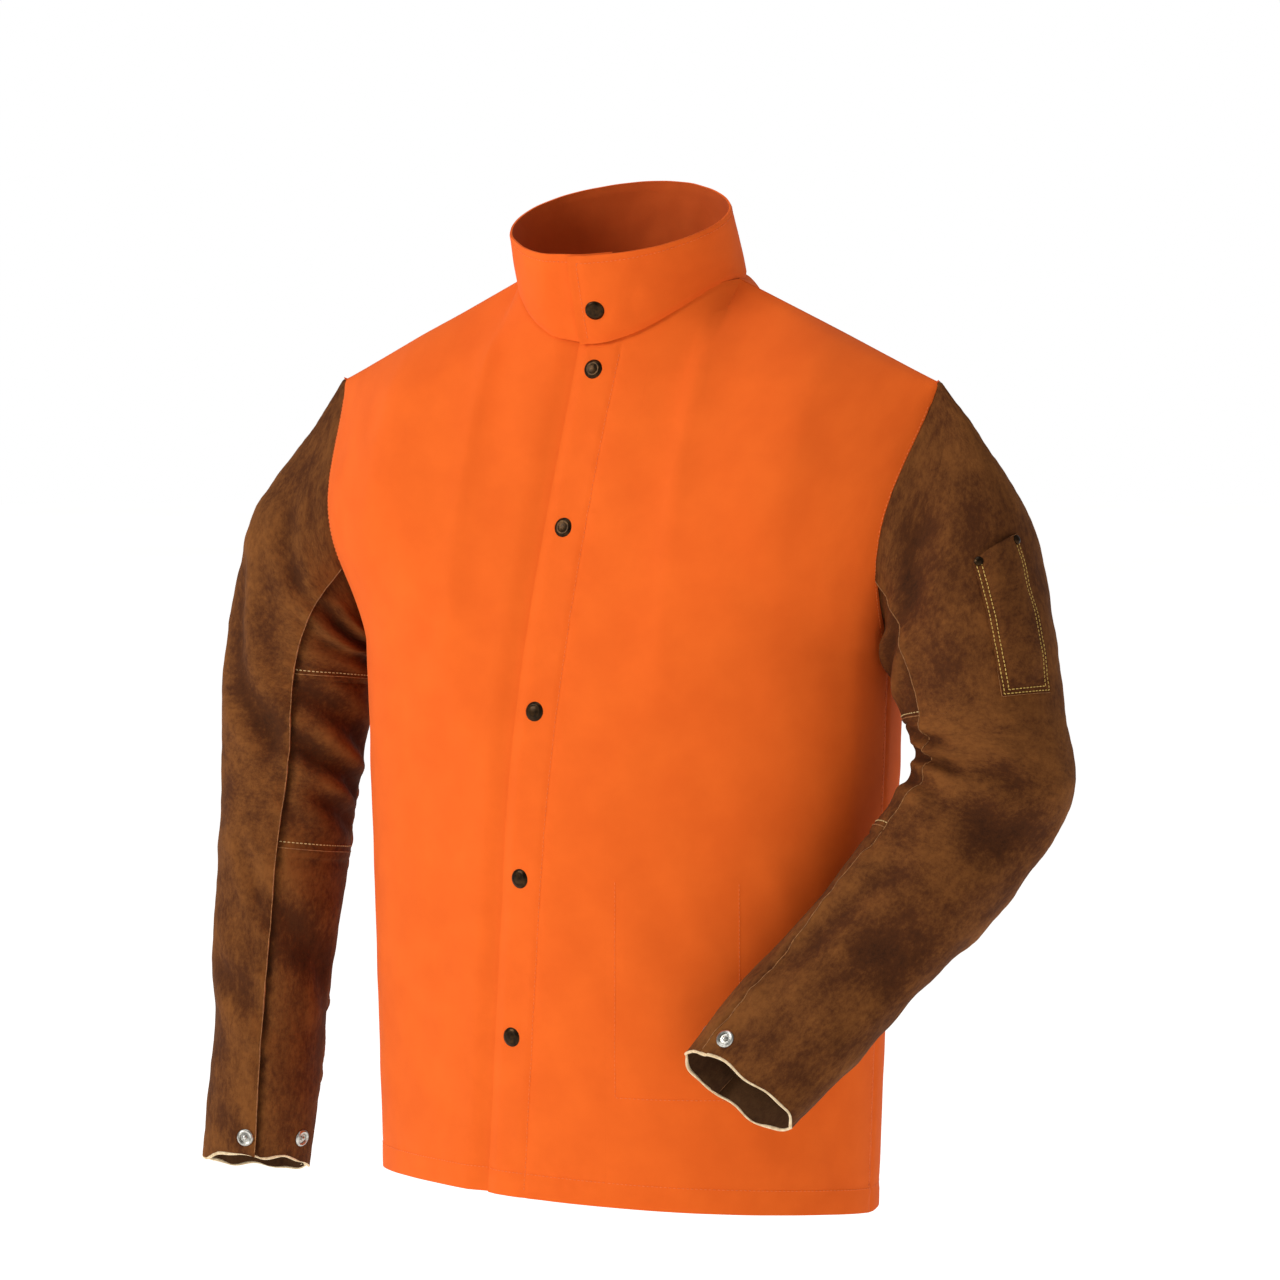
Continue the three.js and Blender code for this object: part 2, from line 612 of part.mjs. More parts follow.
// A point of a sleeve: angle round the arm, along counted in rings from the armhole.
function sleevePoint(name, angle, along) {
  const side = name === "left" ? 1 : -1;
  const stations = RINGS[name].map((station) => ringPoint(station, side, angle));
  const line = [armholePoint(side, angle), ...stations];
  const curve = new THREE.CatmullRomCurve3(line, false, "catmullrom", 0.5);
  return curve.getPoint(clamp(along / (line.length - 1), 0, 1));
}

const SEAM_ANGLE_GAP = 0.6; // degrees, between the top sleeve and the under sleeve

// A piece of sleeve between two angles, in degrees, and two distances along it, in rings.
function sleevePatch(name, fromAngle, toAngle, from, to) {
  return (u, v) => sleevePoint(name, degrees(lerp(fromAngle, toAngle, u)), lerp(to, from, v));
}

function addSleeve(name) {
  const flipped = name === "right";
  const halves = [
    { half: "top", start: BACK_SEAM_ANGLE - 360, end: FRONT_SEAM_ANGLE, columns: 12 },
    { half: "under", start: FRONT_SEAM_ANGLE, end: BACK_SEAM_ANGLE, columns: 6 },
  ];
  const holes = {
    top: [punch(cuffSnapPlace(name, CUFF_SNAP_ANGLES.stud), EYELET_RADIUS)],
    under: [punch(cuffSnapPlace(name, CUFF_SNAP_ANGLES.socket), EYELET_RADIUS)],
  };
  for (const { half, start, end, columns } of halves) {
    for (const section of SECTIONS) {
      const fromAngle = end - SEAM_ANGLE_GAP / 2;
      const toAngle = start + SEAM_ANGLE_GAP / 2;
      const from = section.from + SECTION_GAP;
      const to = section.to - SECTION_GAP;
      const surface = sleevePatch(name, fromAngle, toAngle, from, to);
      const shape = { surface, columns, rows: section.rows, thickness: LEATHER, flipped };
      const leather = sheet(shape);
      const geometry = section.name === "forearm" ? cut(leather, holes[half]) : leather;
      addPart(`${name}_${half}_sleeve_${section.name}`, geometry, SUEDE);
    }
  }
}

function sleeveLength(name, angle, from, to) {
  return sleevePoint(name, angle, from).distanceTo(sleevePoint(name, angle, to));
}

function cuffSnapPlace(name, angle) {
  const share = CUFF_SNAP_INSET / sleeveLength(name, degrees(angle), 5, 6);
  const along = 6 - share;
  const surface = sleevePatch(name, angle + 10, angle - 10, along - 0.1, along + 0.1);
  const normal = normalAt(surface, 0.5, 0.5, name === "right");
  return { point: surface(0.5, 0.5), normal };
}

// A snap piece clenched through the cuff: its outer half, its shank and the washer inside.
function cuffProfile(outer) {
  const washer = -LEATHER - CUFF_WASHER_GAP;
  return [
    [0, washer - SNAP_FLANGE_THICKNESS],
    [SNAP_FLANGE_RADIUS, washer - SNAP_FLANGE_THICKNESS],
    [SNAP_FLANGE_RADIUS, washer],
    [SNAP_SHANK_RADIUS, washer],
    [SNAP_SHANK_RADIUS, HARDWARE_GAP],
    ...outer,
  ];
}

function addCuffSnaps(name) {
  const foot = HARDWARE_GAP;
  const flange = foot + SNAP_FLANGE_THICKNESS;
  const stud = [
    [SNAP_FLANGE_RADIUS, foot],
    [SNAP_FLANGE_RADIUS, flange],
    [SNAP_STUD_RADIUS * 0.85, flange],
    [SNAP_STUD_RADIUS, flange + SNAP_STUD_HEIGHT * 0.7],
    [0, flange + SNAP_STUD_HEIGHT],
  ];
  const bore = SNAP_STUD_RADIUS + SNAP_CLEARANCE;
  const socket = [
    [SNAP_SOCKET_RADIUS, foot],
    [SNAP_SOCKET_RADIUS, foot + SNAP_SOCKET_DEPTH * 0.8],
    [SNAP_SOCKET_RADIUS * 0.8, foot + SNAP_SOCKET_DEPTH],
    [bore, foot + SNAP_SOCKET_DEPTH],
    [bore, flange],
    [0, flange],
  ];
  for (const [piece, outer] of [["stud", stud], ["socket", socket]]) {
    const place = cuffSnapPlace(name, CUFF_SNAP_ANGLES[piece]);
    addPart(`${name}_cuff_${piece}`, seated(turned(cuffProfile(outer)), place), NICKEL);
  }
}

function addSleevePocket() {
  const middle = degrees((SLEEVE_POCKET_START + SLEEVE_POCKET_END) / 2);
  const ringLength = sleeveLength("left", middle, 1, 2);
  const bottom = 2 - SLEEVE_POCKET_INSET / ringLength;
  const top = bottom - SLEEVE_POCKET_LENGTH / ringLength;
  const surface = sleevePatch("left", SLEEVE_POCKET_END, SLEEVE_POCKET_START, top, bottom);
  const lift = SEAM_GAP + LEATHER;
  const offset = (u, v) => {
    const hollow = Math.sin(Math.PI * u) ** 0.7 * Math.sin((Math.PI / 2) * Math.min(v * 3, 1));
    return lift + SLEEVE_POCKET_BULGE * hollow;
  };
  const patch = sheet({ surface, columns: 6, rows: 5, thickness: LEATHER, offset });
  const width = surface(0, 1).distanceTo(surface(1, 1));
  const across = RIVET_INSET / width;
  const down = 1 - RIVET_INSET / SLEEVE_POCKET_LENGTH;
  const holes = [];
  for (const [label, u] of [["front", across], ["rear", 1 - across]]) {
    const normal = normalAt(surface, u, down, false);
    const point = surface(u, down).addScaledVector(normal, offset(u, down));
    const place = { point, normal };
    holes.push(punch(place, EYELET_RADIUS));
    const head = [
      [0, -LEATHER],
      [SNAP_SHANK_RADIUS, -LEATHER],
      [SNAP_SHANK_RADIUS, HARDWARE_GAP],
      [RIVET_RADIUS, HARDWARE_GAP],
      [RIVET_RADIUS * 0.8, HARDWARE_GAP + RIVET_RISE],
      [0, HARDWARE_GAP + RIVET_RISE],
    ];
    addPart(`sleeve_pocket_rivet_${label}`, seated(turned(head), place), ANTIQUE);
  }
  addPart("sleeve_pocket", cut(patch, holes), SUEDE);
}

// ---------------------------------------------------------------- assembly

addBack();
addLeftFront();
addRightFront();
addInsidePocket();
const collarPlace = addCollar();
const depths = { socket: SOCKET_DEPTH, under: RIGHT_FRONT_DEPTH, underBack: RIGHT_FACING_DEPTH + COTTON };
addSnap("collar_snap", collarPlace, depths);
frontSnapPlaces.forEach((place, i) => addSnap(`front_snap_${i + 1}`, place, depths));
for (const name of ["left", "right"]) {
  addSleeve(name);
  addCuffSnaps(name);
}
addSleevePocket();

export default jacket;
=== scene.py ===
"""Looks of a hybrid welding jacket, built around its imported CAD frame.

The body and stand-up collar are orange flame-resistant cotton, and the sleeves are brown split leather.
Metres, +Z up, the front faces -Y and +X is the wearer's left. The origin is the middle of the neck opening.
"""

import logging
import math
from collections.abc import Callable
from dataclasses import dataclass, field
from enum import Enum

import bmesh
import bpy
import numpy as np
from mathutils import Matrix, Vector


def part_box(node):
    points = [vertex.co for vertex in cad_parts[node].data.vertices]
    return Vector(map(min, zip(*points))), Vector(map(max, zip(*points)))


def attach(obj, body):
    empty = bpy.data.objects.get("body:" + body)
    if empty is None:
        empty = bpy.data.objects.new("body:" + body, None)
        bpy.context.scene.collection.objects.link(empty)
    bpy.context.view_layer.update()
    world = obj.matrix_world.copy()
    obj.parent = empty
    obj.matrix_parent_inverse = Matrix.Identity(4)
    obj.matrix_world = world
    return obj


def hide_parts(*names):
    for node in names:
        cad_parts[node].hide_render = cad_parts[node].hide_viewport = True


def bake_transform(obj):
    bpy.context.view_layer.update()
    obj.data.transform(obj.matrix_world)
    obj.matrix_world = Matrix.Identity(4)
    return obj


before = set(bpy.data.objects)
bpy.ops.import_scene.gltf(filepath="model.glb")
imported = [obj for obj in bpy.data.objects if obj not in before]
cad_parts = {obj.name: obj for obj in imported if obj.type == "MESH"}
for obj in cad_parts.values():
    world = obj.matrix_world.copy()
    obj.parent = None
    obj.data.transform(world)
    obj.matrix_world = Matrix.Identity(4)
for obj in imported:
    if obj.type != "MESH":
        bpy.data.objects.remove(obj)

Array = np.ndarray
Value = float | Array
Tree = bpy.types.NodeTree
Socket = bpy.types.NodeSocket
Line = tuple[Array, Array]  # points in a row, and the outward direction at each
Place = tuple[Vector, Vector]  # a point on a surface and its outward direction
log = logging.getLogger("jacket")

UP = Vector((0, 0, 1))
SHARP_EDGE = math.radians(40)


# ---------------------------------------------------------------- small tools


def lerp(start: Value, end: Value, share: Value) -> Value:
    """The value a share of the way from start to end."""
    return start + (end - start) * share


def smooth(value: Value, low: float, high: float) -> Value:
    """0 below low, 1 above high, and an even S between them."""
    share = np.clip((value - low) / (high - low), 0, 1)
    return share * share * (3 - 2 * share)


def hump(distance: Value, width: float) -> Value:
    """1 at no distance, falling away smoothly over a width."""
    return np.exp(-((distance / width) ** 2))


def linear(code: str) -> tuple[float, float, float, float]:
    """An sRGB hex colour as the linear one that shaders take."""
    parts = [int(code[i : i + 2], 16) / 255 for i in (0, 2, 4)]
    return (*(p / 12.92 if p <= 0.04045 else ((p + 0.055) / 1.055) ** 2.4 for p in parts), 1.0)


@dataclass(frozen=True)
class Ripple:
    """Irregular soft relief: plane waves of fixed, seeded directions, added up.

    Args:
        wavelength: typical distance between crests.
        height: typical height of a crest.
        seed: chooses the pattern.
        stretch: how much longer the waves are along each axis.
    """

    wavelength: float
    height: float
    seed: int
    stretch: tuple[float, float, float] = (1.0, 1.0, 1.0)

    def at(self, points: Array) -> Array:
        """Height of the relief at each point."""
        waves = 16
        source = np.random.default_rng(self.seed)
        directions = source.normal(size=(waves, 3))
        directions /= np.linalg.norm(directions, axis=1)[:, None]
        directions /= np.array(self.stretch)
        rates = 2 * math.pi / self.wavelength * source.uniform(0.6, 1.5, waves)
        phases = source.uniform(0, 2 * math.pi, waves)
        total = np.sin((points @ directions.T) * rates + phases).sum(axis=-1)
        return self.height * total / math.sqrt(waves / 2)


@dataclass(frozen=True)
class Motion:
    """What a piece moves with: one CAD body, or two of them with the ends of a bend that is not made.

    Args:
        bodies: one body, or the two that the piece would bend between.
        start: where the bend would start, on the first body; not used.
        end: where it would end, on the second; not used.
    """

    bodies: tuple[str, ...]
    start: tuple[float, float, float] = (0, 0, 0)
    end: tuple[float, float, float] = (0, 0, 0)

    def carry(self, piece: bpy.types.Object) -> None:
        """Ties a finished piece to its one body; a piece given two bodies only has its transform baked."""
        if len(self.bodies) == 1:
            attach(piece, self.bodies[0])
        else:
            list(self.bodies)
            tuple(self.start)
            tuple(self.end)
            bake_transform(piece)


# ---------------------------------------------------------------- finishes

TWILL_ANGLE = math.radians(63)
TWILL_RATE = 620  # scale of the rib pattern, coarser than real twill so that it shows

def add_node(
    tree: Tree, kind: str, settings: dict | None = None, links: dict | None = None
) -> bpy.types.Node:
    """Adds a shader node.

    Args:
        tree: the material's or world's node tree.
        kind: the node's type name.
        settings: values for its sockets or properties, by name.
        links: output sockets to join to its inputs, by input name.

    Returns:
        The new node.
    """
    node = tree.nodes.new(kind)
    for name, value in (settings or {}).items():
        if isinstance(name, int) or name in node.inputs:
            node.inputs[name].default_value = value
        else:
            setattr(node, name, value)
    for name, source in (links or {}).items():
        tree.links.new(source, node.inputs[name])
    return node


def new_material(name: str) -> tuple[bpy.types.Material, Tree]:
    """An empty node material with its tree."""
    material = bpy.data.materials.new(name)
    material.use_nodes = True
    material.node_tree.nodes.clear()
    return material, material.node_tree


def ramp(tree: Tree, source: Socket, stops: list[tuple[float, str]]) -> Socket:
    """Adds a colour ramp.

    Args:
        tree: the material's node tree.
        source: the value that drives it.
        stops: positions with their sRGB hex colours.

    Returns:
        Its colour socket.
    """
    node = add_node(tree, "ShaderNodeValToRGB", links={"Fac": source})
    elements = node.color_ramp.elements
    while len(elements) < len(stops):
        elements.new(0.5)
    for element, (position, code) in zip(elements, stops):
        element.position = position
        element.color = linear(code)
    return node.outputs["Color"]


def noise(tree: Tree, vector: Socket, grain: float, detail: float = 3.0, roughness: float = 0.55) -> Socket:
    """The value socket of a noise whose blotches are grain metres wide."""
    settings = {"Scale": 1 / grain, "Detail": detail, "Roughness": roughness}
    return add_node(tree, "ShaderNodeTexNoise", settings, {"Vector": vector}).outputs["Fac"]


def mix_colour(tree: Tree, share: float, first: Socket, second: Socket) -> Socket:
    """Mixes two sockets' colours.

    Args:
        tree: the material's node tree.
        share: how much of the second there is.
        first, second: the colours.

    Returns:
        The mixed colour's socket.
    """
    node = tree.nodes.new("ShaderNodeMix")
    node.data_type = "RGBA"
    node.inputs[0].default_value = share
    tree.links.new(first, node.inputs[6])
    tree.links.new(second, node.inputs[7])
    return node.outputs[2]


def finish_surface(tree: Tree, settings: dict, links: dict) -> None:
    """Adds the principled shader and the material's output."""
    shader = add_node(tree, "ShaderNodeBsdfPrincipled", settings, links)
    add_node(tree, "ShaderNodeOutputMaterial", links={"Surface": shader.outputs["BSDF"]})


@dataclass(frozen=True)
class Cotton:
    """Flame-resistant cotton twill. The eye sees a dense matte orange with faint darker rubbing and a
    soft bloom where the cloth turns away.

    Args:
        name: the material's name.
        light: colour of the clean cloth.
        deep: colour of its faint blotches.
    """

    name: str
    light: str
    deep: str

    def build(self) -> bpy.types.Material:
        """Makes the material from the piece's own UV, which is in metres."""
        material, tree = new_material(self.name)
        uv = add_node(tree, "ShaderNodeUVMap", {"uv_map": "cut"}).outputs["UV"]
        cloudy = noise(tree, uv, 0.045, detail=4)
        colour = ramp(tree, cloudy, [(0.35, self.deep), (0.7, self.light)])
        lie = {"Rotation": (0, 0, TWILL_ANGLE), "Scale": (TWILL_RATE,) * 3}
        turned_uv = add_node(tree, "ShaderNodeMapping", lie, {"Vector": uv}).outputs["Vector"]
        ribs = {"Scale": 1.0, "Distortion": 1.2, "Detail": 1.0}
        twill = add_node(tree, "ShaderNodeTexWave", ribs, {"Vector": turned_uv}).outputs["Fac"]
        slub = noise(tree, uv, 0.0022, detail=2)
        height = mix_colour(tree, 0.5, twill, slub)
        bump = add_node(tree, "ShaderNodeBump", {"Strength": 0.12, "Distance": 0.0004}, {"Height": height})
        finish_surface(
            tree,
            {"Roughness": 0.88, "Sheen Weight": 0.03, "Sheen Roughness": 0.5, "Specular IOR Level": 0.12},
            {"Base Color": colour, "Normal": bump.outputs["Normal"]},
        )
        return material


@dataclass(frozen=True)
class SplitLeather:
    """Side-split cowhide, napped on both faces. The eye sees patchy warm browns with a short dull nap, darker
    in the folds and seam grooves by painted shade, and paler on the ridges, partly by rub and partly by
    painted highlight.

    Args:
        name: the material's name.
        dark, middle, pale: the hide's colours.
    """

    name: str
    dark: str
    middle: str
    pale: str

    def build(self) -> bpy.types.Material:
        """Makes the material from the piece's own UV and its wear_and_fold_shade attribute, which brings
        painted shade into folds and grooves and paler, rubbed and painted-highlight ridges.
        """
        material, tree = new_material(self.name)
        uv = add_node(tree, "ShaderNodeUVMap", {"uv_map": "cut"}).outputs["UV"]
        # Per-point attribute from the relief: painted shade in folds and grooves, paler ridges partly rubbed
        # and partly painted highlight; mixed into the hide's shade below.
        wear_and_fold_shade = add_node(tree, "ShaderNodeAttribute", {"attribute_name": "wear_and_fold_shade"}).outputs["Fac"]
        blotches = noise(tree, uv, 0.036, detail=8, roughness=0.72)
        flecks = noise(tree, uv, 0.0042, detail=4, roughness=0.75)
        nap = noise(tree, uv, 0.0014, detail=2, roughness=0.6)
        shade = blotches
        for share, layer in ((0.55, flecks), (0.16, wear_and_fold_shade)):
            sum_of = {"operation": "MULTIPLY_ADD", 1: share}
            shade = add_node(tree, "ShaderNodeMath", sum_of, {0: layer, 2: shade}).outputs[0]
        colour = ramp(tree, shade, [(0.35, self.dark), (0.68, self.middle), (1.0, self.pale)])
        grain = mix_colour(tree, 0.45, nap, flecks)
        bump = add_node(tree, "ShaderNodeBump", {"Strength": 0.45, "Distance": 0.0009}, {"Height": grain})
        finish_surface(
            tree,
            {"Roughness": 0.92, "Sheen Weight": 0.10, "Sheen Roughness": 0.4, "Specular IOR Level": 0.14,
             "Sheen Tint": linear("c07a3c")},
            {"Base Color": colour, "Normal": bump.outputs["Normal"]},
        )
        return material


@dataclass(frozen=True)
class Plain:
    """A finish of nearly one colour: thread, a leather's cut edge, snap metal or the studio floor.

    Args:
        name: the material's name.
        light, deep: the colour and its faint variation.
        grain: size of the variation.
        roughness: of the surface.
        metal: share of metal in it.
        glow: light of its own, as of a lit backdrop.
    """

    name: str
    light: str
    deep: str
    grain: float = 0.003
    roughness: float = 0.8
    metal: float = 0.0
    glow: float = 0.0

    def build(self) -> bpy.types.Material:
        """Makes the material from object coordinates."""
        material, tree = new_material(self.name)
        place = add_node(tree, "ShaderNodeTexCoord").outputs["Object"]
        mottled = noise(tree, place, self.grain, detail=3)
        colour = ramp(tree, mottled, [(0.35, self.deep), (0.65, self.light)])
        bump = add_node(tree, "ShaderNodeBump", {"Strength": 0.1, "Distance": 0.0002}, {"Height": mottled})
        finish_surface(
            tree,
            {"Roughness": self.roughness, "Metallic": self.metal, "Emission Strength": self.glow},
            {"Base Color": colour, "Emission Color": colour, "Normal": bump.outputs["Normal"]},
        )
        return material


class Finish(Enum):
    """Every finish of the jacket and its studio."""

    ORANGE_TWILL = Cotton("orange_fr_cotton_twill", "ea651e", "e35f1b")
    # A darker copy of the same orange twill for inner faces, the collar lining, facings and pocket: painted
    # shade.
    TWILL_INSIDE = Cotton("orange_fr_cotton_inside_painted_shade", "cf5a22", "c5521d")
    SPLIT_LEATHER = SplitLeather("brown_split_cowhide", "2a1408", "4d280f", "79481f")
    # A darker copy of the same split hide for the inner faces: painted shade.
    LEATHER_INSIDE = SplitLeather("brown_split_cowhide_inside_painted_shade", "26160a", "3b2210", "52351d")
    CUT_EDGE = Plain("cowhide_cut_edge", "e6cfa8", "cbb088", 0.004)
    RAW_EDGE = Plain("cowhide_raw_seam_edge", "a06a37", "7c4f28", 0.004)
    CREAM_THREAD = Plain("cream_aramid_thread", "dcc28a", "bd9d62", 0.001, 0.7)
    YELLOW_THREAD = Plain("yellow_aramid_thread", "d8b25c", "b8923f", 0.001, 0.7)
    ORANGE_THREAD = Plain("orange_aramid_thread", "f27a34", "dd6422", 0.001, 0.7)
    ANTIQUE_BRASS = Plain("antique_finished_brass", "3a2713", "1b1209", 0.004, 0.32, 0.9)
    NICKEL = Plain("nickel_plated_steel", "c9c7c0", "9c9991", 0.003, 0.28, 1.0)
    PALE_FLOOR = Plain("pale_studio_floor", "f7f6f4", "f4f3f1", 0.6, 0.95, 0.0, 0.82)

    def material(self) -> bpy.types.Material:
        """The Blender material, made once."""
        return bpy.data.materials.get(self.value.name) or self.value.build()


# ---------------------------------------------------------------- meshes


def new_object(name: str, mesh: bpy.types.Mesh, finishes: tuple[Finish, ...]) -> bpy.types.Object:
    """Links a mesh with its finishes as a smooth object at the origin."""
    for finish in finishes:
        mesh.materials.append(finish.material())
    mesh.shade_smooth()
    mesh.set_sharp_from_angle(angle=SHARP_EDGE)
    piece = bpy.data.objects.new(name, mesh)
    bpy.context.scene.collection.objects.link(piece)
    return piece


def finished_mesh(bm: bmesh.types.BMesh, name: str) -> bpy.types.Mesh:
    """Turns a bmesh into a named mesh and frees it."""
    mesh = bpy.data.meshes.new(name)
    bm.to_mesh(mesh)
    bm.free()
    return mesh


def grid_normals(points: Array, inside: Array) -> Array:
    """Unit normals of a grid of points, pointing away from the matching inside points."""
    across = np.gradient(points, axis=1)
    up = np.gradient(points, axis=0)
    normals = np.cross(across, up)
    normals /= np.maximum(np.linalg.norm(normals, axis=2), 1e-12)[..., None]
    outward = np.sum(normals * (points - inside))
    return normals if outward > 0 else -normals


def arc_length(points: Array, axis: int) -> Array:
    """Length of each line of a grid along an axis."""
    return np.linalg.norm(np.diff(points, axis=axis), axis=2).sum(axis=axis)


def cell_area(points: Array) -> float:
    """Area of a grid of points."""
    first = points[1:, 1:] - points[:-1, :-1]
    second = points[1:, :-1] - points[:-1, 1:]
    return float(np.linalg.norm(np.cross(first, second), axis=2).sum() / 2)


@dataclass
class Sheet:
    """A panel of cloth or leather: a grid carried onto the garment's surface, given relief and thickness.

    Args:
        name: the piece's name.
        shape: gives the surface's points for u and v, each from 0 to 1.
        inside: gives points on the inner side of the surface, for the same u and v.
        relief: gives the relief's height for u, v and the smooth points.
        columns, rows: how finely the panel is divided.
        thickness: of the material.
        motion: what the panel moves with.
        finishes: of the outer face, the inner face, the edges and the last row's edge.
        slot: a name for the piece's material slot; not used.
        replaces: the CAD nodes that the panel stands for.
        wear_and_fold_shade: gives the per-point attribute from u, v and the relief: rubbed wear, with painted
            shade in folds and grooves.
        uv: gives where u and v lie on the uncut material, or None to lay the grid out flat.
    """

    name: str
    shape: Callable[[Array, Array], Array]
    inside: Callable[[Array, Array], Array]
    relief: Callable[[Array, Array, Array], Array]
    columns: int
    rows: int
    thickness: float
    motion: Motion
    finishes: tuple[Finish, ...]
    slot: str
    replaces: tuple[str, ...] = ()
    held: str = "hung"
    wear_and_fold_shade: Callable[[Array, Array, Array], Array] | None = None
    uv: Callable[[Array, Array], tuple[Array, Array]] | None = None
    outer: Array = field(init=False)
    normals: Array = field(init=False)
    piece: bpy.types.Object = field(init=False)

    def build(self) -> "Sheet":
        """Makes the panel's piece."""
        v, u = np.meshgrid(
            np.linspace(0, 1, self.rows + 1), np.linspace(0, 1, self.columns + 1), indexing="ij"
        )
        plain, inside = self.shape(u, v), self.inside(u, v)
        relief = self.relief(u, v, plain)
        self.outer = plain + grid_normals(plain, inside) * relief[..., None]
        self.normals = grid_normals(self.outer, inside)
        inner = self.outer - self.normals * self.thickness
        width, length = float(arc_length(plain, 1).max()), float(arc_length(plain, 0).max())
        us, vs = self.uv(u, v) if self.uv else (u * width, v * length)
        mesh = self._closed_mesh()
        order = self._order(mesh)
        both = np.concatenate([self.outer.reshape(-1, 3), inner.reshape(-1, 3)])[order]
        mesh.vertices.foreach_set("co", both.astype(np.float32).ravel())
        flat = np.stack([us.ravel(), vs.ravel()], axis=1)
        self._paint(mesh, np.concatenate([flat, flat])[order])
        # The attribute carries rubbed wear and painted shade from the relief, for the leather shader.
        if self.wear_and_fold_shade is not None:
            wear_and_fold_shade = self.wear_and_fold_shade(u, v, relief).ravel()
            layer = mesh.attributes.new("wear_and_fold_shade", "FLOAT", "POINT")
            layer.data.foreach_set("value", np.concatenate([wear_and_fold_shade, wear_and_fold_shade])[order].astype(np.float32))
        self._face_outwards(mesh)
        self.piece = new_object(self.name, mesh, self.finishes)
        if self.replaces:
            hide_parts(*self.replaces)
        self.motion.carry(self.piece)
        cell_area(plain)
        log.info("%s flat %.3f x %.3f m", self.name, width, length)
        return self

    def locate(self, u: Array, v: Array) -> tuple[Array, Array]:
        """Points on the finished outer face, and its directions, for u and v."""
        column = np.clip(np.asarray(u, float), 0, 1) * self.columns
        row = np.clip(np.asarray(v, float), 0, 1) * self.rows
        i = np.minimum(column.astype(int), self.columns - 1)
        j = np.minimum(row.astype(int), self.rows - 1)
        a, b = (column - i)[..., None], (row - j)[..., None]

        def between(grid: Array) -> Array:
            """The grid's value between its four nearest points."""
            low = lerp(grid[j, i], grid[j, i + 1], a)
            return lerp(low, lerp(grid[j + 1, i], grid[j + 1, i + 1], a), b)

        normals = between(self.normals)
        return between(self.outer), normals / np.linalg.norm(normals, axis=-1)[..., None]

    def _closed_mesh(self) -> bpy.types.Mesh:
        """Two unit grids one above the other, joined round their edges. Material 0 is the outer face,
        1 the inner one, 2 the edges and 3 the edge of the last row."""
        bm = bmesh.new()
        bmesh.ops.create_grid(bm, x_segments=self.columns, y_segments=self.rows, size=0.5)
        outer_faces = list(bm.faces)
        rim = [e for e in bm.edges if e.is_boundary]
        made = bmesh.ops.duplicate(bm, geom=outer_faces)
        partner = made["vert_map"]
        inner_faces = [f for f in made["geom"] if isinstance(f, bmesh.types.BMFace)]
        for vert in {v for f in inner_faces for v in f.verts}:
            vert.co.z = -1
        for face in inner_faces:
            face.material_index = 1
        bmesh.ops.reverse_faces(bm, faces=inner_faces)
        last = len(self.finishes) - 1
        for edge in rim:
            first, second = edge.verts
            side = bm.faces.new((first, second, partner[second], partner[first]))
            at_end = first.co.y > 0.4999 and second.co.y > 0.4999
            side.material_index = min(3 if at_end else 2, last)
        bmesh.ops.recalc_face_normals(bm, faces=bm.faces)
        return finished_mesh(bm, self.name)

    def _order(self, mesh: bpy.types.Mesh) -> Array:
        """For each vertex, its place in the outer grid followed by the inner one."""
        unit = np.zeros(len(mesh.vertices) * 3, np.float32)
        mesh.vertices.foreach_get("co", unit)
        unit = unit.reshape(-1, 3)
        i = np.rint((unit[:, 0] + 0.5) * self.columns).astype(int)
        j = np.rint((unit[:, 1] + 0.5) * self.rows).astype(int)
        below = unit[:, 2] < -0.5
        return j * (self.columns + 1) + i + below * (self.columns + 1) * (self.rows + 1)

    def _paint(self, mesh: bpy.types.Mesh, flat: Array) -> None:
        """Stores where each corner lies on the uncut material, in metres."""
        layer = mesh.uv_layers.new(name="cut")
        corners = np.zeros(len(mesh.loops), np.int32)
        mesh.loops.foreach_get("vertex_index", corners)
        layer.data.foreach_set("uv", flat[corners].astype(np.float32).ravel())

    def _face_outwards(self, mesh: bpy.types.Mesh) -> None:
        """Turns the faces round if the outer one looks inwards."""
        mesh.update()
        face = mesh.polygons[(self.rows // 2) * self.columns + self.columns // 2]
        corner = self.normals[self.rows // 2, self.columns // 2]
        if face.normal.dot(Vector(corner)) < 0:
            mesh.flip_normals()


def turned(profile: list[tuple[float, float]], sides: int = 40) -> bpy.types.Mesh:
    """A solid of revolution about Z, from points of radius and height that start and end on the axis."""
    bm = bmesh.new()
    verts = [bm.verts.new((radius, 0, height)) for radius, height in profile]
    edges = [bm.edges.new(pair) for pair in zip(verts, verts[1:])]
    bmesh.ops.spin(
        bm, geom=verts + edges, cent=(0, 0, 0), axis=(0, 0, 1), angle=2 * math.pi, steps=sides,
        use_duplicate=False,
    )
    bmesh.ops.remove_doubles(bm, verts=bm.verts, dist=1e-6)
    bmesh.ops.recalc_face_normals(bm, faces=bm.faces)
    return finished_mesh(bm, "turned")


def seat(mesh: bpy.types.Mesh, place: Place) -> bpy.types.Mesh:
    """Moves a turned mesh onto a place, its axis along the outward direction."""
    point, outward = place
    turn = outward.to_track_quat("Z", "Y").to_matrix().to_4x4()
    mesh.transform(Matrix.Translation(point) @ turn)
    return mesh


@dataclass(frozen=True)
class Thread:
    """A kind of stitching.

    Args:
        finish: the thread's finish.
        stitch: length of one stitch that shows.
        pitch: distance from one stitch to the next.
        radius: of the thread.
    """

    finish: Finish
    stitch: float = 0.0026
    pitch: float = 0.0036
    radius: float = 0.00042


THREAD_PROUD = 0.35  # a stitch's middle stands this share of its radius above the surface


def along_row(place: float, distance: Array, values: Array) -> Array:
    """Values of a row of points at a distance along it."""
    return np.array([np.interp(place, distance, values[:, k]) for k in range(3)])


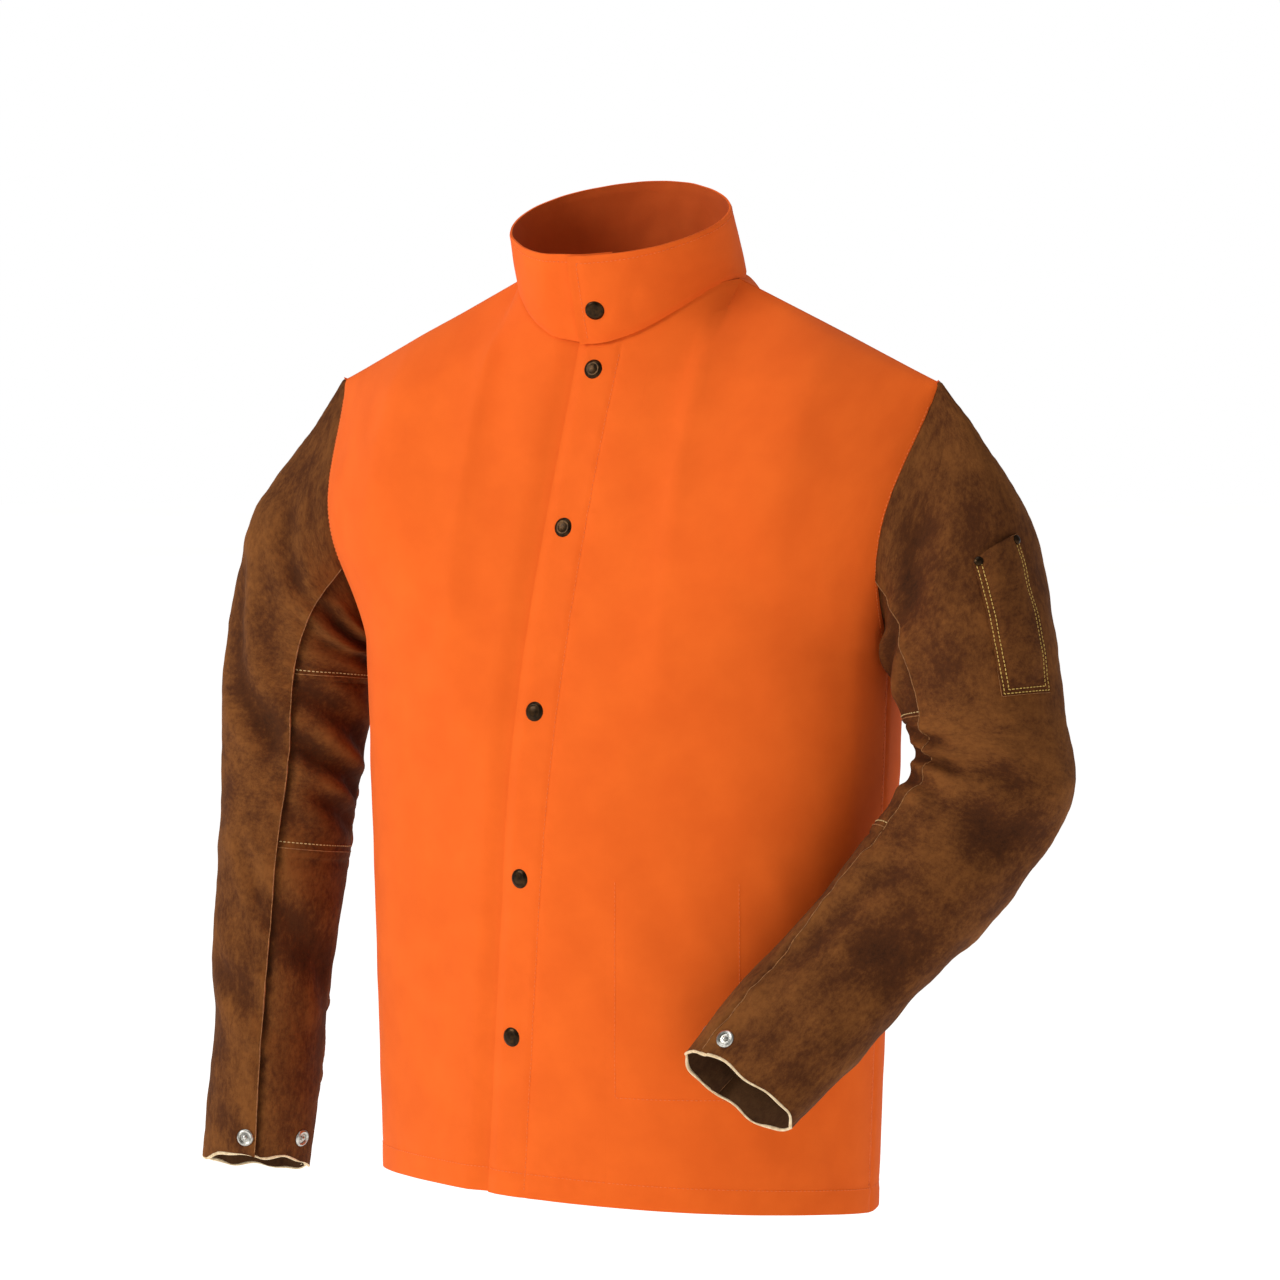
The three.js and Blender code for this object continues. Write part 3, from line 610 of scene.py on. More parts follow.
def add_stitches(name: str, rows: list[Line], thread: Thread, motion: Motion) -> None:
    """Sews rows of stitches, each a small closed capsule, as one piece.

    Args:
        name: the piece's name.
        rows: for each row, the points that it follows and the outward directions there.
        thread: its kind.
        motion: what it moves with.
    """
    bm = bmesh.new()
    bmesh.ops.create_uvsphere(bm, u_segments=6, v_segments=4, radius=1)
    bm.verts.index_update()
    unit = np.array([v.co for v in bm.verts])
    faces = [[v.index for v in f.verts] for f in bm.faces]
    bm.free()
    corners, polygons = [], []
    for line, outward in rows:
        steps = np.linalg.norm(np.diff(line, axis=0), axis=1)
        distance = np.concatenate([[0], np.cumsum(steps)])
        centres = np.arange(thread.pitch / 2, distance[-1], thread.pitch)
        for s in centres:
            places = (s, s + thread.stitch / 2, s - thread.stitch / 2)
            at, ahead, behind = (along_row(place, distance, line) for place in places)
            normal = along_row(s, distance, outward)
            along = ahead - behind
            along /= max(np.linalg.norm(along), 1e-9)
            side = np.cross(along, normal)
            side /= max(np.linalg.norm(side), 1e-9)
            rise = np.cross(side, along)
            frame_axes = np.stack([side * thread.radius, rise * thread.radius, along * thread.stitch / 2])
            base = len(corners) * len(unit)
            corners.append(unit @ frame_axes + at + normal * thread.radius * THREAD_PROUD)
            polygons.extend([[base + k for k in face] for face in faces])
    mesh = bpy.data.meshes.new(name)
    mesh.from_pydata(np.concatenate(corners).tolist(), [], polygons)
    motion.carry(new_object(name, mesh, (thread.finish,)))


# ---------------------------------------------------------------- the body's surface


class Facing(Enum):
    """Which half of the body a panel covers, as its direction along Y."""

    FRONT = -1
    BACK = 1


@dataclass(frozen=True)
class BodyShape:
    """The worn body's surface. The sizes are the CAD model's."""

    length: float = -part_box("back_panel")[0].z
    front_hem_rise: float = 0.016
    hem_half_width: float = 0.223
    chest_half_width: float = 0.238
    half_depth: float = 0.151
    neck_half_width: float = 0.098
    neck_half_depth: float = 0.080
    front_neck_drop: float = 0.052
    back_neck_rise: float = 0.007
    shoulder_half_width: float = 0.278
    left_shoulder_drop: float = 0.081
    right_shoulder_droop: float = 0.011
    armhole_height: float = 0.216
    armhole_half_depth: float = 0.064
    shoulder_rounding: float = 0.200
    chest_rounding: float = 0.420
    ridge_set_back: float = 0.005

    def shoulder_drop(self, side: Array) -> Array:
        """Height from the neck point down to the shoulder tip."""
        return self.left_shoulder_drop + np.where(np.asarray(side) < 0, self.right_shoulder_droop, 0)

    def underarm(self, side: Array) -> Array:
        """Height of the armhole's lowest point."""
        return -self.shoulder_drop(side) - self.armhole_height

    def top_edge(self, x: Array, facing: Facing) -> Array:
        """Height of the shoulder seam or neck seam at x."""
        beyond = np.abs(x) - self.neck_half_width
        slope = -self.shoulder_drop(x) * beyond / (self.shoulder_half_width - self.neck_half_width)
        middle = -self.front_neck_drop if facing is Facing.FRONT else self.back_neck_rise
        return np.where(beyond > 0, slope, (1 - (x / self.neck_half_width) ** 2) * middle)

    def armhole_share(self, z: Array, side: Array) -> Array:
        """How far up the armhole a height lies, from 0 to 1."""
        return np.clip((z - self.underarm(side)) / self.armhole_height, 0, 1)

    def half_width(self, z: Array, side: Array) -> Array:
        """Half the body's width at a height."""
        rise = np.clip((z + self.length) / (self.length + self.underarm(side)), 0, 1)
        below = lerp(self.hem_half_width, self.chest_half_width, rise)
        return below + (self.shoulder_half_width - self.chest_half_width) * self.armhole_share(z, side)

    def point(self, share: Array, z: Array, facing: Facing) -> Array:
        """A point of the body: share runs from -1 at the right edge to 1 at the left one."""
        forward = facing.value
        side = np.where(share < 0, -1, 1)
        across = np.sin(share * math.pi / 2)
        x = self.half_width(z, side) * across
        up = self.armhole_share(z, side)
        edge_depth = self.armhole_half_depth * np.sin(math.pi * up)
        profile = np.maximum(1 - across**2, 0) ** (0.5 + 0.35 * np.sin(math.pi * up))
        full_depth = lerp(edge_depth, self.half_depth, profile)
        middle = np.maximum(1 - (x / (2 * self.neck_half_width)) ** 2, 0) ** 1.5
        chest = middle if facing is Facing.FRONT else 0 * middle
        rounding = lerp(self.shoulder_rounding, self.chest_rounding, chest)
        below = np.clip((self.top_edge(x, facing) - z) / rounding, 0, 1)
        fullest = np.where(chest > 0, 1.25, 0.8)
        filled = (1 - (1 - below) ** 2) ** lerp(0.62, fullest, middle)
        at_neck = np.sqrt(np.maximum(1 - (x / self.neck_half_width) ** 2, 0))
        spread = 1 / (1 + (np.abs(x) / self.neck_half_width / 0.92) ** 4)
        top_depth = self.neck_half_depth * lerp(at_neck, spread, smooth(below, 0.0, 0.22))
        y = self.ridge_set_back * (1 - filled) + forward * lerp(top_depth, full_depth, filled)
        return np.stack([x, y, z + 0 * x], axis=-1)

    def share_at(self, x: Array, z: Array) -> Array:
        """The share at which a column passes x at a height."""
        return np.arcsin(np.clip(x / self.half_width(z, x), -1, 1)) * 2 / math.pi

    def hem(self, share: Array, facing: Facing) -> Array:
        """Height of the hem."""
        rise = self.front_hem_rise * (1 if facing is Facing.FRONT else 0.5)
        return -self.length + rise * (1 - share**2)

    def column_top(self, share_of: Callable[[Array], Array], facing: Facing) -> Array:
        """Height at which each column meets the top edge, for a share that depends on the height."""
        z = share_of(np.asarray(-self.front_neck_drop)) * 0 - self.front_neck_drop
        for _ in range(40):
            share = share_of(z)
            z = self.top_edge(self.half_width(z, share) * np.sin(share * math.pi / 2), facing)
        return z


BODY = BodyShape()


@dataclass(frozen=True)
class FrontOpening:
    """The askew line of snaps down the front, the edges beside it and the layers under it."""

    top_x: float = 0.014
    hem_x: float = -0.040
    left_edge_beyond: float = 0.018
    right_edge_beyond: float = 0.020
    fold_x: float = 0.056
    facing_width: float = 0.040
    free_below: float = -0.188
    right_depth: float = 0.0044
    stitch_line: float = 0.038
    curl: float = 0.060

    def snap_x(self, z: Array) -> Array:
        """The snaps' line."""
        return lerp(self.top_x, self.hem_x, np.clip(-z / BODY.length, 0, 1))

    def left_edge(self, z: Array) -> Array:
        """Edge of the left front, which laps over the right one."""
        return self.snap_x(z) - self.left_edge_beyond

    def right_edge(self, z: Array) -> Array:
        """Edge of the right front."""
        return self.snap_x(z) + self.right_edge_beyond

    def underlap(self, x: Array, z: Array) -> Array:
        """How far the right front is set in, from 0 clear of the left one to 1 under it."""
        return 1 - smooth(self.left_edge(z) - x, 0.002, 0.024)


OPENING = FrontOpening()
TORSO = Motion(("torso",))
# The free edge and its root are given the torso and the flap as bodies, with the fold at the curl and a
# slanting fold up to the placket; no turn is made.
CURL_START = (OPENING.fold_x, 0, OPENING.free_below)
FREE_EDGE = Motion(
    ("torso", "left_front_flap"), CURL_START, (OPENING.fold_x - OPENING.curl, 0, OPENING.free_below)
)
SLANT_ACROSS = 0.776
SLANT = Vector((-SLANT_ACROSS, 0, -0.631))
EDGE_ROOT = Motion(
    ("torso", "left_front_flap"), CURL_START, tuple(Vector(CURL_START) + SLANT * OPENING.curl * SLANT_ACROSS)
)

COTTON = 0.0010
LEATHER = 0.0015
HEM_STITCH = 0.020
BESIDE = 0.0001  # gap between two layers that are sewn together
SET_BACK = 0.0006  # a facing ends this far inside the edge that it backs
QUARTER_ROUND = 0.36  # distance round the body's front or back, from its middle to a side seam
SNAP_HEIGHTS = [sum(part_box(f"front_snap_{i}_cap"), Vector()).z / 2 for i in range(1, 6)]

FRONT_DRAPE = (Ripple(0.23, 0.0016, 11, (1, 1, 2.6)), Ripple(0.05, 0.00022, 12))
BACK_DRAPE = (Ripple(0.20, 0.0036, 13, (1, 1, 3.2)), Ripple(0.05, 0.00025, 14))


def body_drape(points: Array, facing: Facing) -> Array:
    """Soft hanging folds that grow towards the hem and die out at the shoulders."""
    drape = FRONT_DRAPE if facing is Facing.FRONT else BACK_DRAPE
    x, z = points[..., 0], points[..., 2]
    loose = smooth(-z, 0.05, 0.45)
    sewn = smooth(BODY.top_edge(x, facing) - z, 0.0, 0.05)
    sewn = sewn * smooth(BODY.half_width(z, x) - np.abs(x), 0.0, 0.012)
    return (drape[0].at(points) * lerp(0.5, 1.0, loose) + drape[1].at(points)) * sewn


def body_seams(share: Array, z: Array, points: Array, facing: Facing) -> Array:
    """Grooves of the side, shoulder and hem seams, with the small puckers that stitching draws in."""
    to_side = (1 - np.abs(share)) * QUARTER_ROUND
    to_top = BODY.top_edge(points[..., 0], facing) - z
    above_hem = z - BODY.hem(share, facing)
    pucker = Ripple(0.012, 0.00016, 15).at(points)
    groove = -0.0012 * hump(to_side, 0.003) - 0.0009 * hump(to_top, 0.003)
    hem = -0.0005 * hump(above_hem - HEM_STITCH, 0.0030) + 0.0004 * (1 - smooth(above_hem, 0.016, 0.020))
    near_stitches = hump(above_hem - HEM_STITCH, 0.012) + hump(to_side, 0.012)
    return groove + hem + pucker * near_stitches


def towards_top(v: Array) -> Array:
    """Crowds rows together near the top, where the body is round."""
    return 1 - (1 - v) ** 1.4


@dataclass(frozen=True)
class BodyPanel:
    """A panel between two edges of the body.

    Args:
        facing: front or back.
        from_share, to_share: the panel's edges as functions of height.
        low, high: its lower and upper ends, or None for the hem and the top edge.
        depth: how far below the body's surface its outer face lies.
    """

    facing: Facing
    from_share: Callable[[Array], Array]
    to_share: Callable[[Array], Array]
    low: float | None = None
    high: float | None = None
    depth: float = 0.0

    def share(self, u: Array, z: Array) -> Array:
        """The body's share at u and a height."""
        return lerp(self.from_share(z), self.to_share(z), u)

    def height(self, u: Array, v: Array) -> Array:
        """The height at u and v."""
        hem = BODY.hem(self.share(u, -BODY.length), self.facing)
        low = hem if self.low is None else self.low + 0 * u
        if self.high is None:
            high = BODY.column_top(lambda z: self.share(u, z), self.facing)
            return lerp(low, high, towards_top(v))
        return lerp(low, self.high, v)

    def row(self, u: Array, z: Array) -> Array:
        """The v at which a height lies in the column u."""
        samples = np.linspace(0, 1, 400)
        found = []
        for column, height in np.broadcast(u, z):
            heights = self.height(np.full(400, column), samples)
            found.append(np.interp(height, heights, samples))
        return np.array(found)

    def column(self, x: Value, z: Array) -> Array:
        """The u of the column that passes x at a height."""
        first, last = self.share(0.0, z), self.share(1.0, z)
        return (BODY.share_at(x, z) - first) / (last - first)

    def surface(self, u: Array, v: Array) -> Array:
        """The panel's smooth points."""
        z = self.height(u, v)
        return BODY.point(self.share(u, z), z, self.facing)

    def core(self, u: Array, v: Array) -> Array:
        """Points inside the body, level with the panel's."""
        points = self.surface(u, v) * 0.4
        points[..., 2] = self.height(u, v) - 0.08
        return points

    def on_cloth(self, u: Array, v: Array) -> tuple[Array, Array]:
        """Where the panel lies on the uncut cloth."""
        z = self.height(u, v)
        return self.share(u, z) * QUARTER_ROUND, z

    def relief(self, u: Array, v: Array, points: Array) -> Array:
        """Drape and seams."""
        z = points[..., 2]
        share = self.share(u, z)
        return -self.depth + body_drape(points, self.facing) + body_seams(share, z, points, self.facing)


def snap_dimples(points: Array) -> Array:
    """The cloth is drawn in round each snap's cap."""
    total = 0.0
    for z in SNAP_HEIGHTS:
        away = np.hypot(points[..., 0] - OPENING.snap_x(z), points[..., 2] - z)
        total = total - 0.0006 * hump(away, 0.011)
    return total


def placket_relief(points: Array) -> Array:
    """The left front's edge: rolled down at the very edge and stitched along its facing."""
    z = points[..., 2]
    beyond = points[..., 0] - OPENING.left_edge(z)
    roll = -0.0019 * (1 - smooth(beyond, 0.0, 0.011))
    facing = 0.0005 * (1 - smooth(beyond, OPENING.stitch_line - 0.003, OPENING.stitch_line + 0.001))
    groove = -0.0005 * hump(beyond - OPENING.stitch_line, 0.0026)
    pucker = Ripple(0.014, 0.00022, 21).at(points) * hump(beyond - OPENING.stitch_line, 0.012)
    return roll + facing + groove + pucker + snap_dimples(points)


def side_seam(side: float) -> Callable[[Array], Array]:
    """A panel's edge at a side seam: side is 1 for the left one and -1 for the right one."""
    return lambda z: side + 0 * z


def at_x(x: float) -> Callable[[Array], Array]:
    """A panel's edge straight up the body at x."""
    return lambda z: BODY.share_at(x + 0 * z, z)


def beside(edge: Callable[[Array], Array], distance: float = 0.0) -> Callable[[Array], Array]:
    """A panel's edge that keeps a distance to the left of a line given by its x at each height."""
    return lambda z: BODY.share_at(edge(z) + distance, z)


BACK = BodyPanel(Facing.BACK, side_seam(1.0), side_seam(-1.0))
LEFT_FOLD = at_x(OPENING.fold_x)
LEFT_SIDE = BodyPanel(Facing.FRONT, LEFT_FOLD, side_seam(1.0))
EDGE_TOP = BodyPanel(Facing.FRONT, beside(OPENING.left_edge), LEFT_FOLD, low=OPENING.free_below)
EDGE_LOW = BodyPanel(Facing.FRONT, beside(OPENING.left_edge), LEFT_FOLD, high=OPENING.free_below)
RIGHT_PANEL = BodyPanel(Facing.FRONT, beside(OPENING.right_edge), side_seam(-1.0))


def add_back() -> Sheet:
    """The one-piece back."""
    return Sheet(
        "back", BACK.surface, BACK.core, BACK.relief, 130, 150, COTTON, TORSO,
        (Finish.ORANGE_TWILL, Finish.TWILL_INSIDE), "cotton", ("back_panel",), uv=BACK.on_cloth,
    ).build()


def over_relief(panel: BodyPanel) -> Callable[[Array, Array, Array], Array]:
    """Relief of a layer of the left front, with its rolled and stitched edge."""
    return lambda u, v, points: panel.relief(u, v, points) + placket_relief(points)


def add_left_front() -> dict[str, Sheet]:
    """The left front in three pieces that meet without a break."""
    finishes = (Finish.ORANGE_TWILL, Finish.TWILL_INSIDE)
    pieces = {}
    for name, panel, columns, rows, motion, nodes in (
        ("left_front_side", LEFT_SIDE, 66, 170, TORSO, ("left_front",)),
        ("left_front_edge_top", EDGE_TOP, 44, 60, EDGE_ROOT, ("left_front_neck", "left_strip_bend")),
        ("left_front_edge", EDGE_LOW, 44, 190, FREE_EDGE, ("left_strip",)),
    ):
        pieces[name] = Sheet(
            name, panel.surface, panel.core, over_relief(panel), columns, rows, COTTON, motion,
            finishes, "cotton", nodes, uv=panel.on_cloth,
        ).build()
    return pieces


def add_left_facing() -> None:
    """The facing behind the left front's edge, in two lengths."""
    edges = beside(OPENING.left_edge, SET_BACK), beside(OPENING.left_edge, OPENING.facing_width)
    top = BodyPanel(Facing.FRONT, *edges, low=OPENING.free_below, depth=COTTON + BESIDE)
    low = BodyPanel(Facing.FRONT, *edges, high=OPENING.free_below, depth=COTTON + BESIDE)
    for name, panel, rows, motion, node in (
        ("left_facing_top", top, 50, EDGE_ROOT, "left_facing_neck"),
        ("left_facing_free", low, 150, FREE_EDGE, "left_facing"),
    ):
        Sheet(
            name, panel.surface, panel.core, over_relief(panel), 20, rows, COTTON, motion,
            (Finish.TWILL_INSIDE,), "cotton_inside", (node,), uv=panel.on_cloth,
        ).build()


def under_relief(panel: BodyPanel) -> Callable[[Array, Array, Array], Array]:
    """Relief of a layer of the right front, set in where it runs under the left one."""

    def relief(u: Array, v: Array, points: Array) -> Array:
        """The panel's own relief, less the depth of the lap."""
        under = OPENING.underlap(points[..., 0], points[..., 2])
        return panel.relief(u, v, points) - OPENING.right_depth * under

    return relief


def add_right_front() -> Sheet:
    """The right front and the facing behind its edge."""
    front = Sheet(
        "right_front_panel", RIGHT_PANEL.surface, RIGHT_PANEL.core, under_relief(RIGHT_PANEL), 90, 170,
        COTTON, TORSO, (Finish.ORANGE_TWILL, Finish.TWILL_INSIDE), "cotton", ("right_front",),
        uv=RIGHT_PANEL.on_cloth,
    ).build()
    edges = beside(OPENING.right_edge, -SET_BACK), beside(OPENING.right_edge, -OPENING.facing_width)
    facing = BodyPanel(Facing.FRONT, *edges, depth=COTTON + BESIDE)
    Sheet(
        "right_facing_strip", facing.surface, facing.core, under_relief(facing), 16, 150, COTTON, TORSO,
        (Finish.TWILL_INSIDE,), "cotton_inside", ("right_facing",), uv=facing.on_cloth,
    ).build()
    return front


@dataclass(frozen=True)
class InsidePocket:
    """The patch pocket sewn inside the left front."""

    low_x: float = 0.062
    width: float = 0.098
    top: float = -0.480
    height: float = 0.178
    bulge: float = 0.006

    def panel(self) -> BodyPanel:
        """The pocket's patch of the body."""
        return BodyPanel(
            Facing.FRONT,
            at_x(self.low_x),
            at_x(self.low_x + self.width),
            low=self.top - self.height,
            high=self.top,
            depth=COTTON + 0.0002,
        )

    def build(self) -> None:
        """Makes the pocket, open at its top."""
        panel = self.panel()

        def relief(u: Array, v: Array, points: Array) -> Array:
            """Drape and seams, less the room that the pocket holds."""
            hollow = np.sin(math.pi * u) ** 0.6 * np.sin(math.pi / 2 * np.minimum(v * 3, 1))
            return panel.relief(u, v, points) - self.bulge * hollow

        Sheet(
            "inside_patch_pocket", panel.surface, panel.core, relief, 36, 60, COTTON, TORSO,
            (Finish.TWILL_INSIDE,), "cotton_inside", ("inside_pocket",), "stretched", uv=panel.on_cloth,
        ).build()


# ---------------------------------------------------------------- collar


@dataclass(frozen=True)
class Collar:
    """The stand-up collar, two layers of cotton."""

    height: float = 0.070
    lean: float = 0.022
    taper: float = 0.97
    seam_gap: float = 0.0002
    layer_gap: float = 0.0002
    tuck: float = 0.03
    stitch_below_rim: float = 0.006
    stitch_beside_end: float = 0.0075
    snap_rise: float = 0.36

    def start(self) -> float:
        """Turn of the overlapping end, towards the wearer's left."""
        return math.asin((OPENING.top_x - OPENING.left_edge_beyond) / BODY.neck_half_width)

    def end(self) -> float:
        """Turn of the end below it, once round."""
        return 2 * math.pi + math.asin((OPENING.top_x + OPENING.right_edge_beyond) / BODY.neck_half_width)

    def point(self, turn: Array, rise: Array) -> Array:
        """A point of the collar: turn from the front middle, rise as a share of its height."""
        front = np.cos(turn)
        middle = np.where(front > 0, -BODY.front_neck_drop, BODY.back_neck_rise)
        seam = middle * front**2 + self.seam_gap
        rim = lerp(BODY.back_neck_rise, -BODY.front_neck_drop, (1 + front) / 2) + self.height
        narrow = lerp(1, self.taper, rise)
        x = BODY.neck_half_width * np.sin(turn) * narrow
        y = -BODY.neck_half_depth * front * narrow - self.lean * rise + BODY.ridge_set_back * (1 - front**2)
        return np.stack([x, y, lerp(seam, rim, rise)], axis=-1)

    def turn(self, u: Array) -> Array:
        """Turn at a share of the collar's length."""
        return lerp(self.start(), self.end(), u)

    def rise(self, v: Array) -> Array:
        """Rise at v, which starts a little below the neck seam."""
        return lerp(-self.tuck, 1.0, v)

    def relief(self, u: Array, v: Array, points: Array, depth: float) -> Array:
        """Relief of a layer that lies depth below the collar's outer face."""
        turn, rise = self.turn(u), self.rise(v)
        under = smooth(turn - 2 * math.pi, self.start() - 0.34, self.start() - 0.08)
        below_rim = (1 - rise) * self.height
        to_end = (turn - self.start()) * BODY.neck_half_width
        waves = Ripple(0.10, 0.0011, 31).at(points) * rise + Ripple(0.03, 0.00018, 32).at(points)
        stitched = -0.0005 * hump(below_rim - self.stitch_below_rim, 0.0022)
        rolled = -0.0009 * (1 - smooth(below_rim, 0.0, 0.003))
        at_end = 0.0006 * (1 - smooth(to_end, 0.002, 0.006))
        beside_end = -0.0007 * hump(to_end - self.stitch_beside_end, 0.0022)
        tucked = -0.0012 * (1 - smooth(rise, -0.01, 0.035))
        across, up = (turn - self.snap_turn()) * BODY.neck_half_width, (rise - self.snap_rise) * self.height
        cap = -0.0006 * hump(np.hypot(across, up), 0.011)
        edges = (rolled + at_end + beside_end) * (1 if depth == 0 else 0.3)
        return waves + stitched + tucked + cap + edges - depth - OPENING.right_depth * under

    def snap_turn(self) -> float:
        """Turn of the collar's snap."""
        return math.asin(OPENING.top_x / BODY.neck_half_width)

    def build(self) -> Sheet:
        """Makes the outer layer and the lining."""

        def core(u: Array, v: Array) -> Array:
            """Points inside the neck."""
            points = self.point(self.turn(u), self.rise(v))
            points[..., :2] *= 0.3
            return points

        def on_cloth(u: Array, v: Array) -> tuple[Array, Array]:
            """Where the collar lies on the uncut cloth."""
            return self.turn(u) * BODY.neck_half_width, v * self.height

        def layer(name: str, node: str, depth: float, finish: Finish, slot: str) -> Sheet:
            """Makes one layer, depth below the collar's outer face."""
            return Sheet(
                name, lambda u, v: self.point(self.turn(u), self.rise(v)), core,
                lambda u, v, points: self.relief(u, v, points, depth),
                190, 26, COTTON, TORSO, (finish, Finish.TWILL_INSIDE, Finish.ORANGE_TWILL), slot, (node,),
                uv=on_cloth,
            ).build()

        outer = layer("collar_outer_layer", "collar_outer", 0.0, Finish.ORANGE_TWILL, "cotton")
        below = COTTON + self.layer_gap
        layer("collar_inner_layer", "collar_lining", below, Finish.TWILL_INSIDE, "cotton_inside")
        return outer


# ---------------------------------------------------------------- sleeves


FRONT_SEAM = 115.0  # degrees round the arm
BACK_SEAM = 235.0
DEGREE = 0.00102  # metres round the arm in a degree
RING = 0.075  # metres along the arm from one ring to the next, about
UV_RING = 0.080  # the same on the uncut hide


@dataclass(frozen=True)
class Ring:
    """A ring that a sleeve is led through.

    Args:
        place: outwards from the shoulder tip, forwards from the middle plane, down from the underarm.
        along: the way the arm runs there.
        outer_half, front_half: half-widths across the arm's outer side and across its front.
    """

    place: tuple[float, float, float]
    along: tuple[float, float, float]
    outer_half: float
    front_half: float


@dataclass(frozen=True)
class Crease:
    """A fold pressed into a sleeve between two places.

    Args:
        start, end: each an angle in degrees round the arm and a distance in rings along it.
        width: half the fold's width.
        depth: of its bottom, or the height of a ridge if negative.
    """

    start: tuple[float, float]
    end: tuple[float, float]
    width: float
    depth: float

    def relief(self, angle: Array, along: Array) -> Array:
        """Height of the fold and of the soft ridges beside it."""
        metres = np.array([DEGREE, RING])
        here = np.stack([angle, along], axis=-1) * metres
        first, last = np.array(self.start) * metres, np.array(self.end) * metres
        line = last - first
        t = ((here - first) @ line) / (line @ line)
        away = here - first - np.clip(t, 0, 1)[..., None] * line
        distance = np.linalg.norm(away, axis=-1)
        ends = smooth(t, -0.25, 0.25) * (1 - smooth(t, 0.75, 1.25))
        ridges = 0.45 * hump(distance - 2.1 * self.width, self.width)
        return self.depth * ends * (ridges - hump(distance, self.width))


ALLOWANCE = 0.10  # in rings: the sleeve head runs this far under the body's edge


